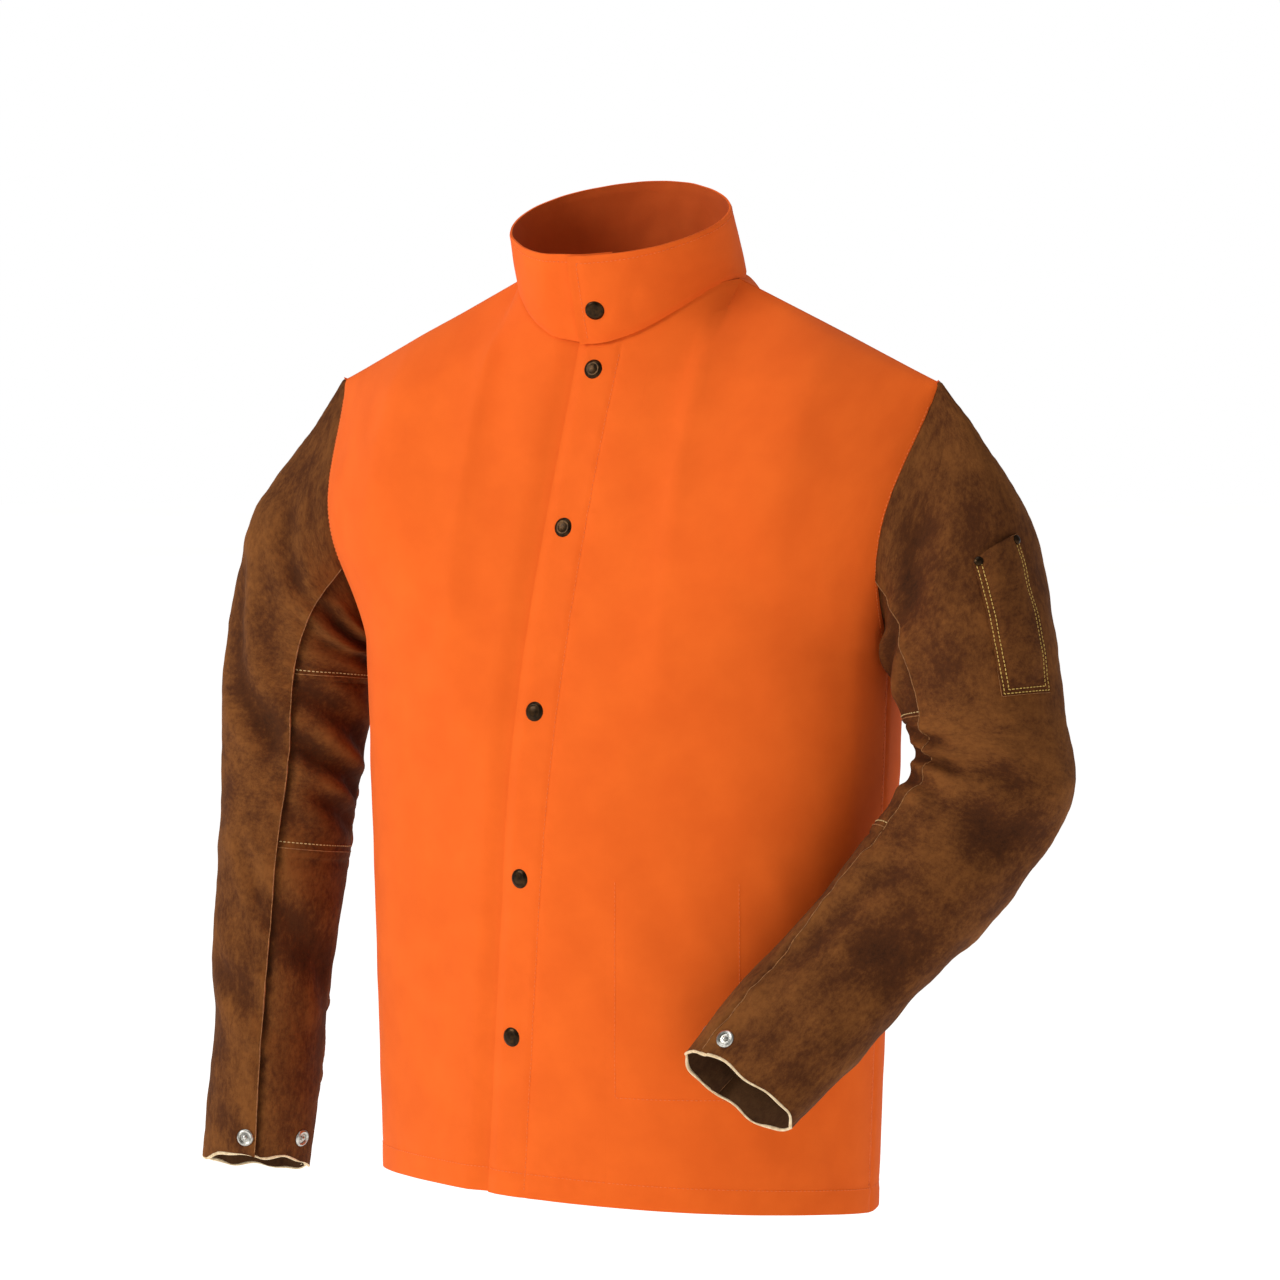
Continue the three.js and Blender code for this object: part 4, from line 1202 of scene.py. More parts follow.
@dataclass(frozen=True)
class SleeveShape:
    """A sleeve's surface and relief.

    Args:
        side: 1 for the left sleeve, -1 for the right.
        rings: the rings that it is led through.
        creases: the folds in its leather.
        mouth_angle: the side of the cuff where its edge is highest.
        mouth_slant: how much further the opposite side hangs, in rings.
        seed: chooses the leather's undulation.
    """

    side: int
    rings: tuple[Ring, ...]
    creases: tuple[Crease, ...]
    mouth_angle: float
    mouth_slant: float
    seed: int

    def armhole(self, angle: Array) -> Array:
        """The armhole seam: angle 0 at the shoulder tip, then down the front and up the back."""
        z = BODY.underarm(self.side) + BODY.armhole_height * (1 + np.cos(angle)) / 2
        share = np.full_like(angle, float(self.side))
        front = BODY.point(share, z, Facing.FRONT)
        back = BODY.point(share, z, Facing.BACK)
        points = np.where((np.sin(angle) >= 0)[..., None], front, back)
        points[..., 0] += self.side * 0.0010
        return points

    def centre(self, ring: Ring) -> Array:
        """The ring's middle."""
        beyond, forward, below = ring.place
        height = float(BODY.underarm(self.side)) - below
        return np.array([self.side * (BODY.shoulder_half_width + beyond), -forward, height])

    def ring_points(self, ring: Ring, angle: Array) -> Array:
        """Points of a ring."""
        tangent = np.array(ring.along) / np.linalg.norm(ring.along)
        outward = np.array([self.side, 0.0, 0.0])
        outward -= tangent * (outward @ tangent)
        outward /= np.linalg.norm(outward)
        forward = np.cross(tangent, outward) * self.side
        return (
            self.centre(ring)
            + np.cos(angle)[..., None] * outward * ring.outer_half
            + np.sin(angle)[..., None] * forward * ring.front_half
        )

    def point(self, degrees: Array, along: Array) -> Array:
        """A point of the sleeve: degrees round the arm, along in rings from the armhole."""
        angle = np.radians(degrees)
        knots = [self.armhole(angle)] + [self.ring_points(r, angle) for r in self.rings]
        knots = [2 * knots[0] - knots[1], *knots, 2 * knots[-1] - knots[-2]]
        last = len(self.rings)
        held = np.clip(along, 0, last)
        index = np.minimum(held.astype(int), last - 1)
        t = (held - index)[..., None]
        line = np.stack(knots)
        grid = np.indices(index.shape)
        p0, p1, p2, p3 = (line[(index + k, *grid)] for k in range(4))
        m1, m2 = (p2 - p0) / 2, (p3 - p1) / 2
        from_start = (2 * t**3 - 3 * t**2 + 1) * p1 + (t**3 - 2 * t**2 + t) * m1
        curve = from_start + (3 * t**2 - 2 * t**3) * p2 + (t**3 - t**2) * m2
        beyond = np.maximum(along - last, 0)[..., None] * (knots[-2] - knots[-3])
        tuck = np.clip(-along / ALLOWANCE, 0, 1)[..., None]
        middle = np.array([0, 0, float(BODY.underarm(self.side)) + BODY.armhole_height / 2])
        inwards = middle - knots[1]
        inwards[..., 0] = 0
        inwards /= np.maximum(np.linalg.norm(inwards, axis=-1), 1e-9)[..., None]
        return curve + beyond + tuck * (inwards * 0.0030 - np.array([self.side * 0.006, 0, 0]))

    def axis(self, along: Array) -> Array:
        """The sleeve's middle line."""
        opposite = [self.point(np.full_like(along, a), along) for a in (0.0, 90.0, 180.0, 270.0)]
        return sum(opposite) / 4

    def mouth(self, degrees: Array) -> Array:
        """How far along the cuff's edge lies, with the waver of a hand-cut edge."""
        turn = np.radians(degrees - self.mouth_angle)
        waver = 0.012 * np.sin(5 * turn + 1.3) + 0.008 * np.sin(9 * turn)
        return len(self.rings) + self.mouth_slant * (1 - np.cos(turn)) / 2 + waver

    def relief(self, degrees: Array, along: Array, points: Array, top: bool) -> Array:
        """Height of the leather's undulation, folds and seams."""
        broad = Ripple(0.110, 0.0014, self.seed, (1, 1, 1.3)).at(points)
        middling = Ripple(0.042, 0.0004, self.seed + 1).at(points)
        fine = Ripple(0.011, 0.00010, self.seed + 2).at(points)
        held = smooth(along, -0.05, 0.5)
        total = (broad + middling) * held + fine
        for crease in self.creases:
            total = total + crease.relief(degrees, along)
        from_seam = np.minimum(np.abs(degrees - FRONT_SEAM), np.abs(degrees - BACK_SEAM))
        from_seam = np.minimum(from_seam, np.abs(degrees + 360 - BACK_SEAM)) * DEGREE
        pucker = Ripple(0.020, 0.0006, self.seed + 3).at(points) * hump(from_seam, 0.010)
        if top:
            seams = 0.0014 * hump(from_seam, 0.004) + 0.0008 * hump(from_seam - 0.008, 0.004)
        else:
            seams = -0.0030 * hump(from_seam, 0.005)
            for cross in CROSS_SEAMS:
                beyond = (along - cross) * RING
                seams = seams + 0.0009 * smooth(-beyond, -0.001, 0.0) * hump(beyond, 0.014)
                seams = seams - 0.0012 * hump(beyond - 0.002, 0.003)
        return total + seams + pucker


CROSS_SEAMS = (2.06, 4.0)  # the under sleeve is pieced here, in rings from the armhole

RIGHT_CREASES = (
    Crease((40, 1.2), (66, 2.1), 0.011, 0.0054),
    Crease((66, 2.1), (108, 2.85), 0.010, 0.0064),
    Crease((122, 2.8), (205, 3.3), 0.008, 0.0078),
    Crease((128, 2.25), (200, 2.8), 0.009, 0.0066),
    Crease((140, 3.35), (205, 3.65), 0.008, 0.0056),
    Crease((55, 4.75), (112, 5.0), 0.007, 0.0030),
    Crease((60, 0.55), (112, 0.95), 0.008, 0.0034),
    Crease((122, 0.75), (180, 1.35), 0.010, 0.0080),
    Crease((126, 1.35), (200, 1.75), 0.009, 0.0050),
    Crease((80, 3.9), (110, 4.4), 0.006, 0.0026),
    Crease((120, 4.4), (190, 4.8), 0.010, 0.0040),
)
LEFT_CREASES = (
    Crease((92, 2.95), (158, 2.68), 0.009, 0.0085),
    Crease((98, 2.50), (146, 2.30), 0.009, 0.0056),
    Crease((96, 3.28), (156, 3.10), 0.010, 0.0058),
    Crease((50, 2.80), (100, 2.98), 0.013, 0.0046),
    Crease((60, 3.30), (98, 3.40), 0.012, 0.0036),
    Crease((70, 0.4), (108, 1.0), 0.012, 0.0040),
    Crease((-5, 3.3), (60, 3.6), 0.016, 0.0030),
    Crease((84, 4.2), (108, 5.3), 0.010, 0.0036),
    Crease((30, 4.6), (86, 5.2), 0.018, 0.0026),
    Crease((122, 0.9), (170, 1.5), 0.010, 0.0060),
)

SLEEVES = {
    "left": SleeveShape(
        1,
        (
            Ring((0.020, 0.001, -0.047), (0.69, 0, -0.724), 0.079, 0.066),
            Ring((0.045, 0.007, 0.048), (0.13, -0.12, -0.98), 0.065, 0.064),
            Ring((0.053, 0.016, 0.107), (-0.16, -0.32, -0.93), 0.066, 0.060),
            Ring((0.024, BODY.half_depth - 0.091, 0.170), (-0.42, -0.46, -0.78), 0.062, 0.055),
            Ring((-0.024, BODY.half_depth - 0.042, 0.242), (-0.43, -0.48, -0.765), 0.060, 0.045),
            Ring((-0.084, BODY.half_depth + 0.017, 0.330), (-0.44, -0.47, -0.765), 0.058, 0.038),
        ),
        LEFT_CREASES, 62.0, 0.16, 51,
    ),
    "right": SleeveShape(
        -1,
        (
            Ring((0.019, 0.001, -0.046), (-0.69, 0, -0.724), 0.077, 0.066),
            Ring((0.039, 0.008, 0.038), (0, -0.12, -0.99), 0.064, 0.063),
            Ring((0.038, 0.020, 0.114), (0, -0.15, -0.99), 0.061, 0.060),
            Ring((0.040, 0.036, 0.190), (-0.03, -0.15, -0.99), 0.056, 0.056),
            Ring((0.046, 0.050, 0.318), (-0.04, -0.1, -0.99), 0.050, 0.050),
            Ring((0.051, 0.060, 0.444), (-0.04, -0.08, -0.99), 0.046, 0.045),
        ),
        RIGHT_CREASES, 118.0, 0.18, 61,
    ),
}


def sleeve_motions(name: str, shape: SleeveShape) -> dict[str, Motion]:
    """The bodies and bend ends given to each length of a sleeve, at the shoulder and the elbow; only the
    forearm is tied to a body, and no bend is made.
    """
    lean = Vector((shape.side * 0.6, 0, -0.8))
    underarm = Vector((shape.side * 0.242, 0, float(BODY.underarm(shape.side))))
    upper = Vector(shape.centre(shape.rings[1]))
    inner = upper - Vector((shape.side * shape.rings[1].outer_half, 0, 0))
    span = (inner - underarm).dot(lean)
    lower = Vector(shape.centre(shape.rings[3]))
    reach = (lower - upper).normalized()
    return {
        "upper": Motion(
            ("torso", f"{name}_upper_arm"), tuple(underarm), tuple(underarm + lean * max(span, 0.03))
        ),
        "elbow": Motion(
            (f"{name}_upper_arm", f"{name}_forearm"),
            tuple(upper + reach * 0.026),
            tuple(lower - reach * 0.018),
        ),
        "forearm": Motion((f"{name}_forearm",)),
    }


# Each length of a sleeve: where it starts and ends in rings, its rows and the CAD sections it covers.
LENGTHS = {
    "upper": (-ALLOWANCE, 2.0, 92, ("head", "upper")),
    "elbow": (2.0, 4.0, 64, ("elbow",)),
    "forearm": (4.0, None, 84, ("forearm",)),
}


@dataclass
class SleevePart:
    """One length of one half of a sleeve, and how to find places on it."""

    shape: SleeveShape
    start: float
    end: float | None
    first: float
    last: float
    sheet: Sheet | None = None

    def degrees(self, u: Array) -> Array:
        """Degrees round the arm."""
        return lerp(self.first, self.last, u)

    def along(self, u: Array, v: Array) -> Array:
        """Rings from the armhole."""
        end = self.shape.mouth(self.degrees(u)) if self.end is None else self.end
        return lerp(self.start, end, v)

    def locate(self, degrees: Array, along: Array) -> tuple[Array, Array]:
        """Points on the finished leather, and its directions."""
        degrees, along = np.broadcast_arrays(np.asarray(degrees, float), np.asarray(along, float))
        end = self.shape.mouth(degrees) if self.end is None else self.end
        u = (degrees - self.first) / (self.last - self.first)
        v = (along - self.start) / (end - self.start)
        return self.sheet.locate(u, v)


def add_sleeve(name: str) -> dict[tuple[str, str], SleevePart]:
    """A two-piece sleeve. The top sleeve's edges lap over the under sleeve's."""
    shape = SLEEVES[name]
    motions = sleeve_motions(name, shape)
    parts = {}
    for half, first, last, columns in (
        ("top", BACK_SEAM - 360 - 1.2, FRONT_SEAM + 1.2, 84),
        ("under", FRONT_SEAM - 1.5, BACK_SEAM + 1.5, 46),
    ):
        for length, (start, end, rows, sections) in LENGTHS.items():
            part = SleevePart(shape, start, end, first, last)
            top = half == "top"

            def surface(u: Array, v: Array, part: SleevePart = part) -> Array:
                """The sleeve's smooth points."""
                return shape.point(part.degrees(u), part.along(u, v))

            def core(u: Array, v: Array, part: SleevePart = part) -> Array:
                """Points on the arm's middle line."""
                return shape.axis(np.clip(part.along(u, v), 0.0, len(shape.rings)))

            def relief(u: Array, v: Array, points: Array, part: SleevePart = part, top: bool = top) -> Array:
                """Folds and seams, with the top half over the under one."""
                lap = 0.0008 if top else -0.0006
                return shape.relief(part.degrees(u), part.along(u, v), points, top) + lap

            def wear_and_fold_shade(u: Array, v: Array, height: Array, part: SleevePart = part) -> Array:
                """Paler on the ridges, partly rubbed wear and partly painted highlight, darker in the folds
                and seam grooves as painted shade, and rubbed at the cuff.
                """
                cuff = hump(part.along(u, v) - len(shape.rings), 0.12)
                return np.clip(height / 0.0045, -1.0, 0.8) + 0.25 * cuff

            def on_hide(u: Array, v: Array, part: SleevePart = part, top: bool = top) -> tuple[Array, Array]:
                """Where the piece lies on the uncut hide, the under sleeve well away from the top one."""
                return part.degrees(u) * DEGREE, part.along(u, v) * UV_RING + (0 if top else 1.7)

            finishes = (Finish.SPLIT_LEATHER, Finish.LEATHER_INSIDE, Finish.RAW_EDGE)
            if length == "forearm":
                finishes += (Finish.CUT_EDGE,)
            part.sheet = Sheet(
                f"{name}_{half}_sleeve_{length}_leather", surface, core, relief, columns, rows, LEATHER,
                motions[length], finishes, "split_leather",
                tuple(f"{name}_{half}_sleeve_{section}" for section in sections),
                wear_and_fold_shade=wear_and_fold_shade, uv=on_hide,
            ).build()
            parts[half, length] = part
    return parts


def add_sleeve_seams(name: str, parts: dict[tuple[str, str], SleevePart]) -> None:
    """The stitches and the bared edges of the sleeve's seams, crosswise and lengthwise."""
    motions = sleeve_motions(name, SLEEVES[name])
    degrees = np.linspace(FRONT_SEAM + 1.5, BACK_SEAM - 1.5, 120)
    for cross, length in zip(CROSS_SEAMS, ("upper", "elbow")):
        stitched, edge = (parts["under", length].locate(degrees, cross - back) for back in (0.115, 0.062))
        add_stitches(f"{name}_cross_seam_{length}_stitches", [stitched], CREAM, motions[length])
        add_stitches(f"{name}_cross_seam_{length}_edge", [edge], BARED, motions[length])
    for (half, length), part in parts.items():
        if half == "top":
            first = max(part.start, 0.03)
            last = float(part.shape.mouth(FRONT_SEAM)) - 0.02 if part.end is None else part.end
            along = np.linspace(first, last, 200)
            rows = [part.locate(angle, along) for angle in (part.first + 0.2, part.last - 0.2)]
            add_stitches(f"{name}_seam_edge_{length}", rows, BARED, motions[length])


def add_cuff_edge(name: str, parts: dict[tuple[str, str], SleevePart]) -> None:
    """The pale core of the hide, bared all round the cuff where it was cut by hand."""
    sides, steps = 8, 120
    rows = []
    for half, first, last in (("top", BACK_SEAM - 360, FRONT_SEAM), ("under", FRONT_SEAM, BACK_SEAM)):
        count = round(steps * (last - first) / 360)
        degrees = np.linspace(first, last, count, endpoint=False)
        points, normals = parts[half, "forearm"].locate(degrees, SLEEVES[name].mouth(degrees))
        rows.append(points - normals * LEATHER / 2)
    line = np.concatenate(rows)
    for _ in range(2):
        line = (np.roll(line, 1, axis=0) + 2 * line + np.roll(line, -1, axis=0)) / 4
    ahead = np.roll(line, -1, axis=0) - np.roll(line, 1, axis=0)
    ahead /= np.linalg.norm(ahead, axis=1)[:, None]
    outward = line - line.mean(axis=0)
    outward -= ahead * np.sum(outward * ahead, axis=1)[:, None]
    outward /= np.linalg.norm(outward, axis=1)[:, None]
    down = np.cross(ahead, outward)
    radius = (0.00115 + Ripple(0.03, 0.00018, 81).at(line))[:, None]
    bm = bmesh.new()
    loops = []
    for k in range(sides):
        turn = 2 * math.pi * k / sides
        ring = line + radius * (outward * math.cos(turn) + down * math.sin(turn))
        loops.append([bm.verts.new(p) for p in ring])
    count = len(line)
    for k in range(sides):
        near, far = loops[k], loops[(k + 1) % sides]
        for i in range(count):
            j = (i + 1) % count
            bm.faces.new((near[i], near[j], far[j], far[i]))
    bmesh.ops.recalc_face_normals(bm, faces=bm.faces)
    mesh = finished_mesh(bm, f"{name}_cuff_cut_edge")
    Motion((f"{name}_forearm",)).carry(new_object(f"{name}_cuff_cut_edge", mesh, (Finish.CUT_EDGE,)))


CREAM = Thread(Finish.CREAM_THREAD, 0.0027, 0.0036, 0.00050)
YELLOW = Thread(Finish.YELLOW_THREAD, 0.0026, 0.0033, 0.00050)
BARED = Thread(Finish.RAW_EDGE, 0.0066, 0.0052, 0.00050)
ORANGE = Thread(Finish.ORANGE_THREAD, 0.0026, 0.0036, 0.00036)


# ---------------------------------------------------------------- sleeve pocket


@dataclass(frozen=True)
class SleevePocket:
    """The scribe pocket on the left upper sleeve, open at its top."""

    width: float = 0.045
    stitch_insets: tuple[float, float] = (0.0022, 0.0058)
    first: float = 52.0
    last: float = 11.0
    length: float = 0.118
    above_seam: float = 0.014
    bulge: float = 0.0030

    def span(self) -> tuple[float, float]:
        """Where its bottom and top lie, in rings."""
        shape = SLEEVES["left"]
        middle = np.array([(self.first + self.last) / 2])
        ring = float(
            np.linalg.norm(shape.point(middle, np.array([1.0])) - shape.point(middle, np.array([2.0])))
        )
        bottom = 2 - self.above_seam / ring
        return bottom, bottom - self.length / ring

    def build(self, part: SleevePart, motion: Motion) -> None:
        """Makes the pocket, its two rows of stitches and its rivets."""
        bottom, top = self.span()

        def base(u: Array, v: Array) -> Line:
            """Places on the sleeve under the pocket."""
            return part.locate(lerp(self.first, self.last, u), lerp(bottom, top, v))

        def core(u: Array, v: Array) -> Array:
            """Points inside the sleeve."""
            points, normals = base(u, v)
            return points - normals * 0.03

        def relief(u: Array, v: Array, points: Array) -> Array:
            """The pocket's thickness and bulge, drawn down along its stitches."""
            hollow = np.sin(math.pi * u) ** 0.7 * np.sin(math.pi / 2 * np.minimum(v * 3, 1))
            inset = np.minimum(np.minimum(u, 1 - u) * self.width, v * self.length)
            sewn = -0.0006 * sum(hump(inset - row, 0.0012) for row in self.stitch_insets)
            return LEATHER + 0.0002 + self.bulge * hollow + sewn + Ripple(0.03, 0.0003, 71).at(points)

        # The pocket's attribute paints shade into its stitch grooves and edges and lightens its raised bulge.
        pocket = Sheet(
            "sleeve_pocket_leather", lambda u, v: base(u, v)[0], core, relief, 40, 90, LEATHER, motion,
            (Finish.SPLIT_LEATHER, Finish.LEATHER_INSIDE, Finish.RAW_EDGE), "split_leather",
            ("sleeve_pocket",), "stretched", wear_and_fold_shade=lambda u, v, h: 0.35 * (h - 0.003) / 0.003,
        ).build()
        rows = [pocket.locate(*self.path(inset)) for inset in self.stitch_insets]
        add_stitches("sleeve_pocket_stitches", rows, YELLOW, motion)
        for label, u in (("front", 0.10), ("rear", 0.90)):
            point, outward = pocket.locate(np.array(u), np.array(1 - 0.004 / self.length))
            head = turned([(0, 0.0024), (0.0022, 0.0021), (0.0036, 0.0010), (0.0038, 0.0), (0, 0.0)])
            rivet = new_object(
                f"sleeve_pocket_rivet_{label}_head", seat(head, (Vector(point), Vector(outward))),
                (Finish.ANTIQUE_BRASS,),
            )
            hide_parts(f"sleeve_pocket_rivet_{label}")
            motion.carry(rivet)

    def path(self, inset: float) -> tuple[Array, Array]:
        """The u and v of a stitch row down one side, along the bottom and up the other side."""
        side, foot = inset / self.width, inset / self.length
        down = np.linspace(0.95, foot, 80)
        along = np.linspace(side, 1 - side, 40)
        u = np.concatenate([np.full(80, side), along, np.full(80, 1 - side)])
        v = np.concatenate([down, np.full(40, foot), down[::-1]])
        return u, v


# ---------------------------------------------------------------- snaps

CAP = [
    (0, 0.0024), (0.0020, 0.00235), (0.0040, 0.0020), (0.0048, 0.00178), (0.0052, 0.00192), (0.0058, 0.00180),
    (0.0070, 0.00115), (0.0078, 0.0006), (0.0080, 0.0002), (0.0078, -0.0002), (0, -0.0002),
]
SOCKET = [
    (0, 0.0002), (0.0028, 0.0002), (0.0032, 0.0016), (0.0040, 0.0020), (0.0050, 0.0019), (0.0055, 0.0012),
    (0.0057, 0.0006), (0.0062, 0.0004), (0.0062, 0.0), (0, 0.0),
]
STUD = [
    (0, 0.0030), (0.0018, 0.0029), (0.0026, 0.0024), (0.0028, 0.0018), (0.0023, 0.0010), (0.0030, 0.0007),
    (0.0052, 0.0005), (0.0056, 0.0002), (0.0056, 0.0), (0, 0.0),
]
CUFF_RING = [
    (0, 0.0026), (0.0013, 0.0024), (0.0019, 0.0018), (0.0021, 0.0004), (0.0040, 0.0003), (0.0045, 0.0013),
    (0.0058, 0.0017), (0.0069, 0.0012), (0.0074, 0.0004), (0.0074, 0.0), (0, 0.0),
]
WASHER = [(0, 0.0007), (0.0040, 0.0007), (0.0054, 0.0004), (0.0056, 0.0), (0, 0.0)]


def add_snap_piece(node: str, profile: list, place: Place, finish: Finish, motion: Motion) -> None:
    """A turned snap piece that stands for a CAD one."""
    piece = new_object(f"{node}_shape", seat(turned(profile), place), (finish,))
    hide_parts(node)
    motion.carry(piece)


def add_snap(prefix: str, upper: Place, upper_motion: Motion) -> None:
    """A closed snap: the cap outside and the socket behind the facing on one layer, and the stud and
    its washer on the layer below."""
    point, outward = upper
    back = -outward

    def at(depth: float, direction: Vector) -> Place:
        """A place straight behind the cap."""
        return point - outward * depth, direction

    behind_facing = 2 * COTTON + 0.0002
    under = OPENING.right_depth
    add_snap_piece(f"{prefix}_cap", CAP, (point, outward), Finish.ANTIQUE_BRASS, upper_motion)
    add_snap_piece(f"{prefix}_socket", SOCKET, at(behind_facing, back), Finish.NICKEL, upper_motion)
    add_snap_piece(f"{prefix}_stud", STUD, at(under, outward), Finish.NICKEL, TORSO)
    add_snap_piece(f"{prefix}_post", WASHER, at(under + behind_facing, back), Finish.NICKEL, TORSO)


def front_place(panel: BodyPanel, sheet: Sheet, z: float) -> Place:
    """The snap line's place on the left front at a height."""
    u = float(panel.column(OPENING.snap_x(np.array(z)), np.array(z)))
    v = panel.row(np.array([u]), np.array([z]))
    point, outward = sheet.locate(np.array([u]), v)
    return Vector(point[0]), Vector(outward[0])


def add_cuff_snaps(name: str, parts: dict[tuple[str, str], SleevePart]) -> None:
    """The stud on the top sleeve and the socket on the under sleeve, beside the cuff's edge."""
    motion = Motion((f"{name}_forearm",))
    for kind, half, degrees in (("stud", "top", 105.0), ("socket", "under", 172.0)):
        low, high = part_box(f"{name}_cuff_{kind}")
        middle = (low + high) / 2
        alongs = np.linspace(5.5, 6.0, 60)
        points, normals = parts[half, "forearm"].locate(np.full(60, degrees), alongs)
        near = int(np.argmin(np.linalg.norm(points - np.array(middle), axis=1)))
        place = Vector(points[near]), Vector(normals[near])
        add_snap_piece(f"{name}_cuff_{kind}", CUFF_RING, place, Finish.NICKEL, motion)
        behind = (place[0] - place[1] * LEATHER, -place[1])
        back = new_object(f"{name}_cuff_{kind}_back", seat(turned(WASHER), behind), (Finish.NICKEL,))
        motion.carry(back)


# ---------------------------------------------------------------- stitching on the cotton


def line_on(
    panel: BodyPanel, sheet: Sheet, x_of: Callable[[Array], Array], low: float, high: float
) -> Line:
    """A row of points up a front panel.

    Args:
        panel, sheet: the panel and its finished piece.
        x_of: the row's x at each height.
        low, high: where the row ends.

    Returns:
        The points and their outward directions.
    """
    z = np.linspace(low, high, 160)
    u = panel.column(x_of(z), z)
    return sheet.locate(u, panel.row(u, z))


def hem_row(panel: BodyPanel, sheet: Sheet, height: float) -> Line:
    """A row of points a height above a panel's hem."""
    u = np.linspace(0.004, 0.996, 140)
    hem = BODY.hem(panel.share(u, -BODY.length), panel.facing)
    return sheet.locate(u, panel.row(u, hem + height))


def side_row(panel: BodyPanel, sheet: Sheet, u: float, low: float, high: float) -> Line:
    """A row of points up a panel at one u."""
    v = panel.row(np.full(2, u), np.array([low, high]))
    rows = np.linspace(v[0], v[1], 160)
    return sheet.locate(np.full(160, u), rows)


def add_cotton_stitches(
    back: Sheet, left: dict[str, Sheet], right: Sheet, collar_sheet: Sheet, collar: Collar
) -> None:
    """Orange rows: along the facing, the hem, the side seams, the armholes and the collar."""
    side, top, low = left["left_front_side"], left["left_front_edge_top"], left["left_front_edge"]

    def facing_line(z: Array) -> Array:
        """The x of the row along the left facing."""
        return OPENING.left_edge(z) + OPENING.stitch_line

    low_end = -BODY.length + 0.022
    upper_row = line_on(EDGE_TOP, top, facing_line, OPENING.free_below, -0.062)
    add_stitches("placket_stitches_top", [upper_row], ORANGE, EDGE_ROOT)
    lower_row = line_on(EDGE_LOW, low, facing_line, low_end, OPENING.free_below)
    add_stitches("placket_stitches", [lower_row, hem_row(EDGE_LOW, low, HEM_STITCH)], ORANGE, FREE_EDGE)
    underarm_left, underarm_right = float(BODY.underarm(1)), float(BODY.underarm(-1))
    rows = [
        hem_row(LEFT_SIDE, side, HEM_STITCH),
        hem_row(RIGHT_PANEL, right, HEM_STITCH),
        hem_row(BACK, back, HEM_STITCH),
        side_row(LEFT_SIDE, side, 0.975, low_end, underarm_left),
        side_row(RIGHT_PANEL, right, 0.982, low_end, underarm_right),
        side_row(LEFT_SIDE, side, 0.94, underarm_left, -0.10),
        side_row(RIGHT_PANEL, right, 0.955, underarm_right, -0.11),
    ]
    add_stitches("body_stitches", rows, ORANGE, TORSO)
    u = np.linspace(0.01, 0.97, 260)
    rim = 1 - collar.stitch_below_rim / (collar.height * (1 + collar.tuck))
    beside_end = collar.stitch_beside_end / (collar.end() - collar.start()) / BODY.neck_half_width
    rows = [
        collar_sheet.locate(u, np.full(260, rim)),
        collar_sheet.locate(np.full(60, beside_end), np.linspace(0.06, rim, 60)),
    ]
    add_stitches("collar_stitches", rows, ORANGE, TORSO)


def add_pocket_outline(left: dict[str, Sheet], pocket: InsidePocket) -> None:
    """The inside pocket's stitches, which show on the front."""
    side = left["left_front_side"]
    low, high = pocket.top - pocket.height, pocket.top
    x_low, x_high = pocket.low_x + 0.002, pocket.low_x + pocket.width - 0.002
    up = [line_on(LEFT_SIDE, side, lambda z, x=x: x + 0 * z, low + 0.002, high) for x in (x_low, x_high)]
    x = np.linspace(x_low, x_high, 80)
    z = np.full(80, low + 0.002)
    u = LEFT_SIDE.column(x, z)
    foot = side.locate(u, LEFT_SIDE.row(u, z))
    add_stitches("inside_pocket_stitches", [*up, foot], ORANGE, TORSO)


# ---------------------------------------------------------------- studio


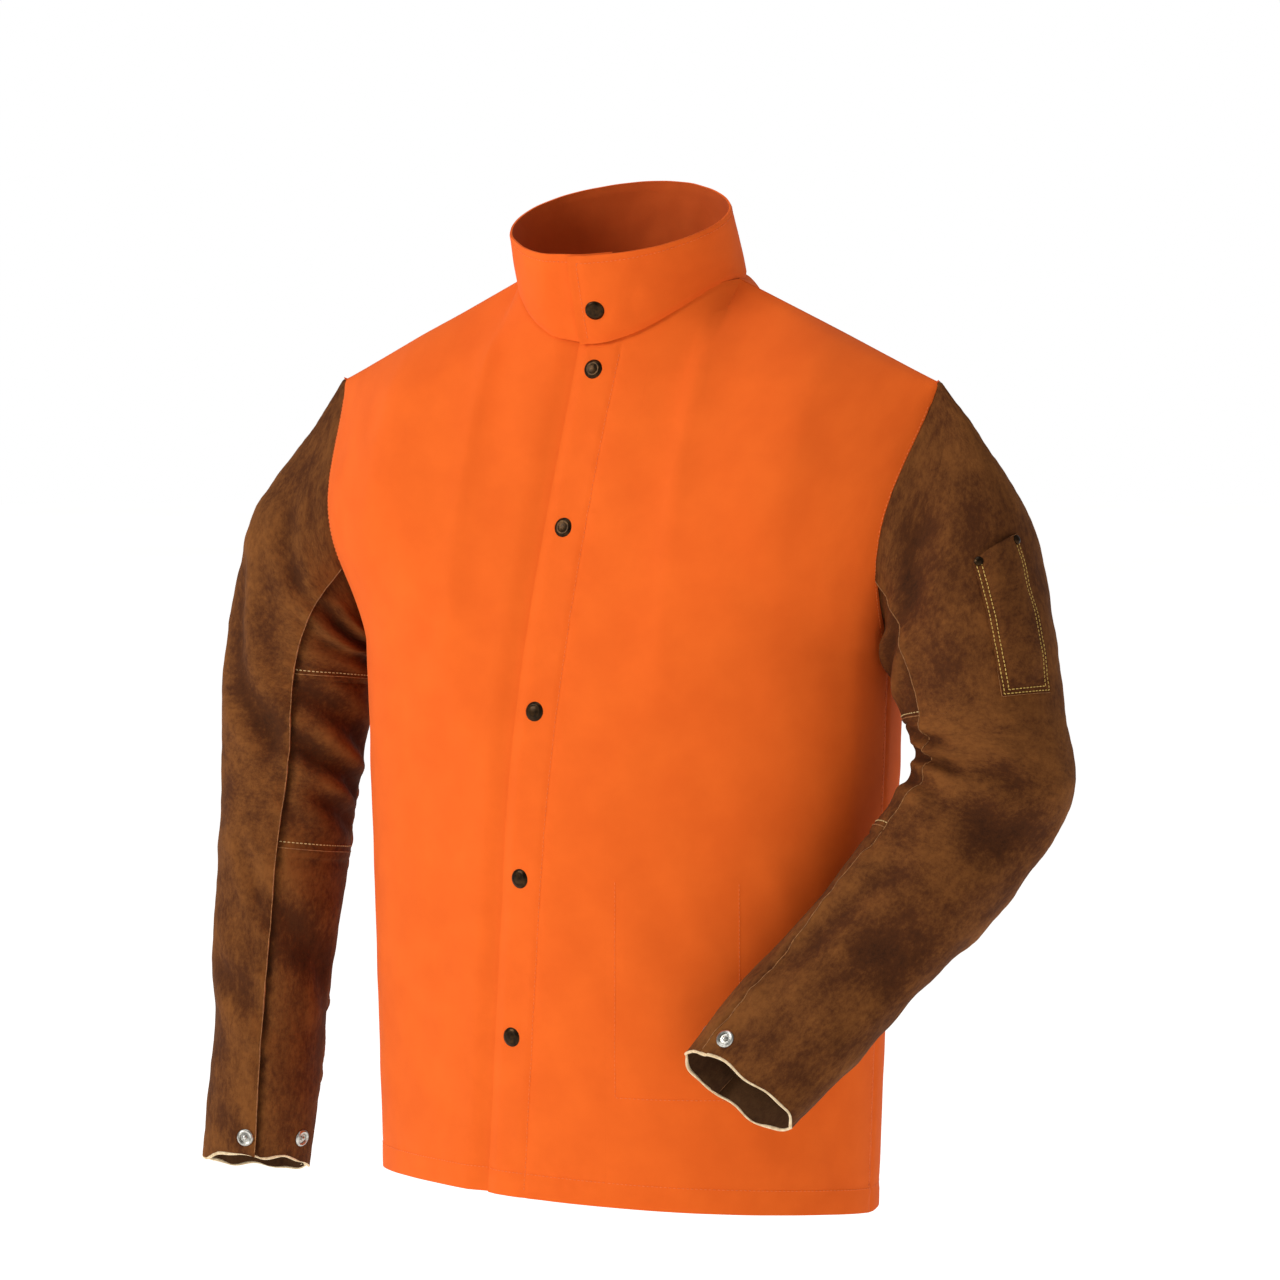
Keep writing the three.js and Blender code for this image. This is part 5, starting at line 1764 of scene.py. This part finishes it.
@dataclass(frozen=True)
class Studio:
    """A pale floor, soft lights and the camera in front of the jacket, a little to its left."""

    azimuth: float = math.radians(28)
    elevation: float = math.radians(6)
    distance: float = 4.0
    lens: float = 135.5
    aim_aside: float = 0.0083
    aim_height: float = -0.302
    floor: float = -1.25

    def build(self) -> None:
        """Makes the studio."""
        self._camera()
        self._floor()
        self._world()
        self._light("key", (-2.4, -3.2, 1.6), 1.8, 103)
        self._light("fill", (3.2, -2.2, 0.4), 2.6, 8)
        self._light("top", (-0.4, -0.6, 2.6), 2.0, 22)
        view = bpy.context.scene.view_settings
        view.view_transform = "Standard"
        view.look = "None"

    def _camera(self) -> None:
        """The camera, aimed at the jacket's middle."""
        across = Vector((math.cos(self.azimuth), math.sin(self.azimuth), 0))
        target = across * self.aim_aside + UP * self.aim_height
        back = Vector(
            (
                math.sin(self.azimuth) * math.cos(self.elevation),
                -math.cos(self.azimuth) * math.cos(self.elevation),
                math.sin(self.elevation),
            )
        )
        data = bpy.data.cameras.new("camera")
        data.lens = self.lens
        camera = bpy.data.objects.new("camera", data)
        camera.location = target + back * self.distance
        camera.rotation_euler = (-back).to_track_quat("-Z", "Y").to_euler()
        bpy.context.scene.collection.objects.link(camera)
        bpy.context.scene.camera = camera

    def _floor(self) -> None:
        """A round pale floor well below the hem."""
        bm = bmesh.new()
        bmesh.ops.create_circle(bm, cap_ends=True, radius=14, segments=64)
        bmesh.ops.translate(bm, verts=bm.verts, vec=(0, 0, self.floor))
        new_object("floor", finished_mesh(bm, "floor"), (Finish.PALE_FLOOR,))

    def _world(self) -> None:
        """A white backdrop that lights the jacket only softly."""
        world = bpy.data.worlds.new("studio")
        world.use_nodes = True
        bpy.context.scene.world = world
        tree = world.node_tree
        tree.nodes.clear()
        seen = add_node(tree, "ShaderNodeLightPath").outputs["Is Camera Ray"]
        backdrop = add_node(tree, "ShaderNodeBackground", {"Color": (1, 1, 1, 1), "Strength": 1.0})
        ambient = add_node(tree, "ShaderNodeBackground", {"Color": (1, 1, 1, 1), "Strength": 0.30})
        mixed = tree.nodes.new("ShaderNodeMixShader")
        tree.links.new(seen, mixed.inputs[0])
        tree.links.new(ambient.outputs[0], mixed.inputs[1])
        tree.links.new(backdrop.outputs[0], mixed.inputs[2])
        add_node(tree, "ShaderNodeOutputWorld", links={"Surface": mixed.outputs[0]})

    def _light(self, name: str, place: tuple[float, float, float], size: float, power: float) -> None:
        """A square soft light of a size and power, aimed at the jacket."""
        data = bpy.data.lights.new(name, "AREA")
        data.size = size
        data.energy = power
        light = bpy.data.objects.new(name, data)
        light.location = place
        aim = Vector((0, 0, self.aim_height)) - light.location
        light.rotation_euler = aim.to_track_quat("-Z", "Y").to_euler()
        bpy.context.scene.collection.objects.link(light)


# ---------------------------------------------------------------- assembly


def add_jacket() -> None:
    """Builds every piece of the jacket."""
    back = add_back()
    left = add_left_front()
    add_left_facing()
    right = add_right_front()
    pocket = InsidePocket()
    pocket.build()
    collar = Collar()
    collar_sheet = collar.build()
    add_cotton_stitches(back, left, right, collar_sheet, collar)
    add_pocket_outline(left, pocket)

    turn_share = (collar.snap_turn() - collar.start()) / (collar.end() - collar.start())
    rise_share = (collar.snap_rise + collar.tuck) / (1 + collar.tuck)
    point, outward = collar_sheet.locate(np.array(turn_share), np.array(rise_share))
    add_snap("collar_snap", (Vector(point), Vector(outward)), TORSO)
    flap = Motion(("left_front_flap",))
    for i, z in enumerate(SNAP_HEIGHTS, start=1):
        upper = z > OPENING.free_below
        panel = EDGE_TOP if upper else EDGE_LOW
        sheet = left["left_front_edge_top" if upper else "left_front_edge"]
        add_snap(f"front_snap_{i}", front_place(panel, sheet, z), TORSO if upper else flap)

    for name in SLEEVES:
        parts = add_sleeve(name)
        add_sleeve_seams(name, parts)
        add_cuff_snaps(name, parts)
        add_cuff_edge(name, parts)
        if name == "left":
            SleevePocket().build(parts["top", "upper"], sleeve_motions(name, SLEEVES[name])["upper"])


def main() -> None:
    """Builds the jacket and its studio."""
    logging.basicConfig(level=logging.INFO, format="%(name)s: %(message)s")
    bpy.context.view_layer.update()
    add_jacket()
    Studio().build()


if __name__ == "__main__":
    main()
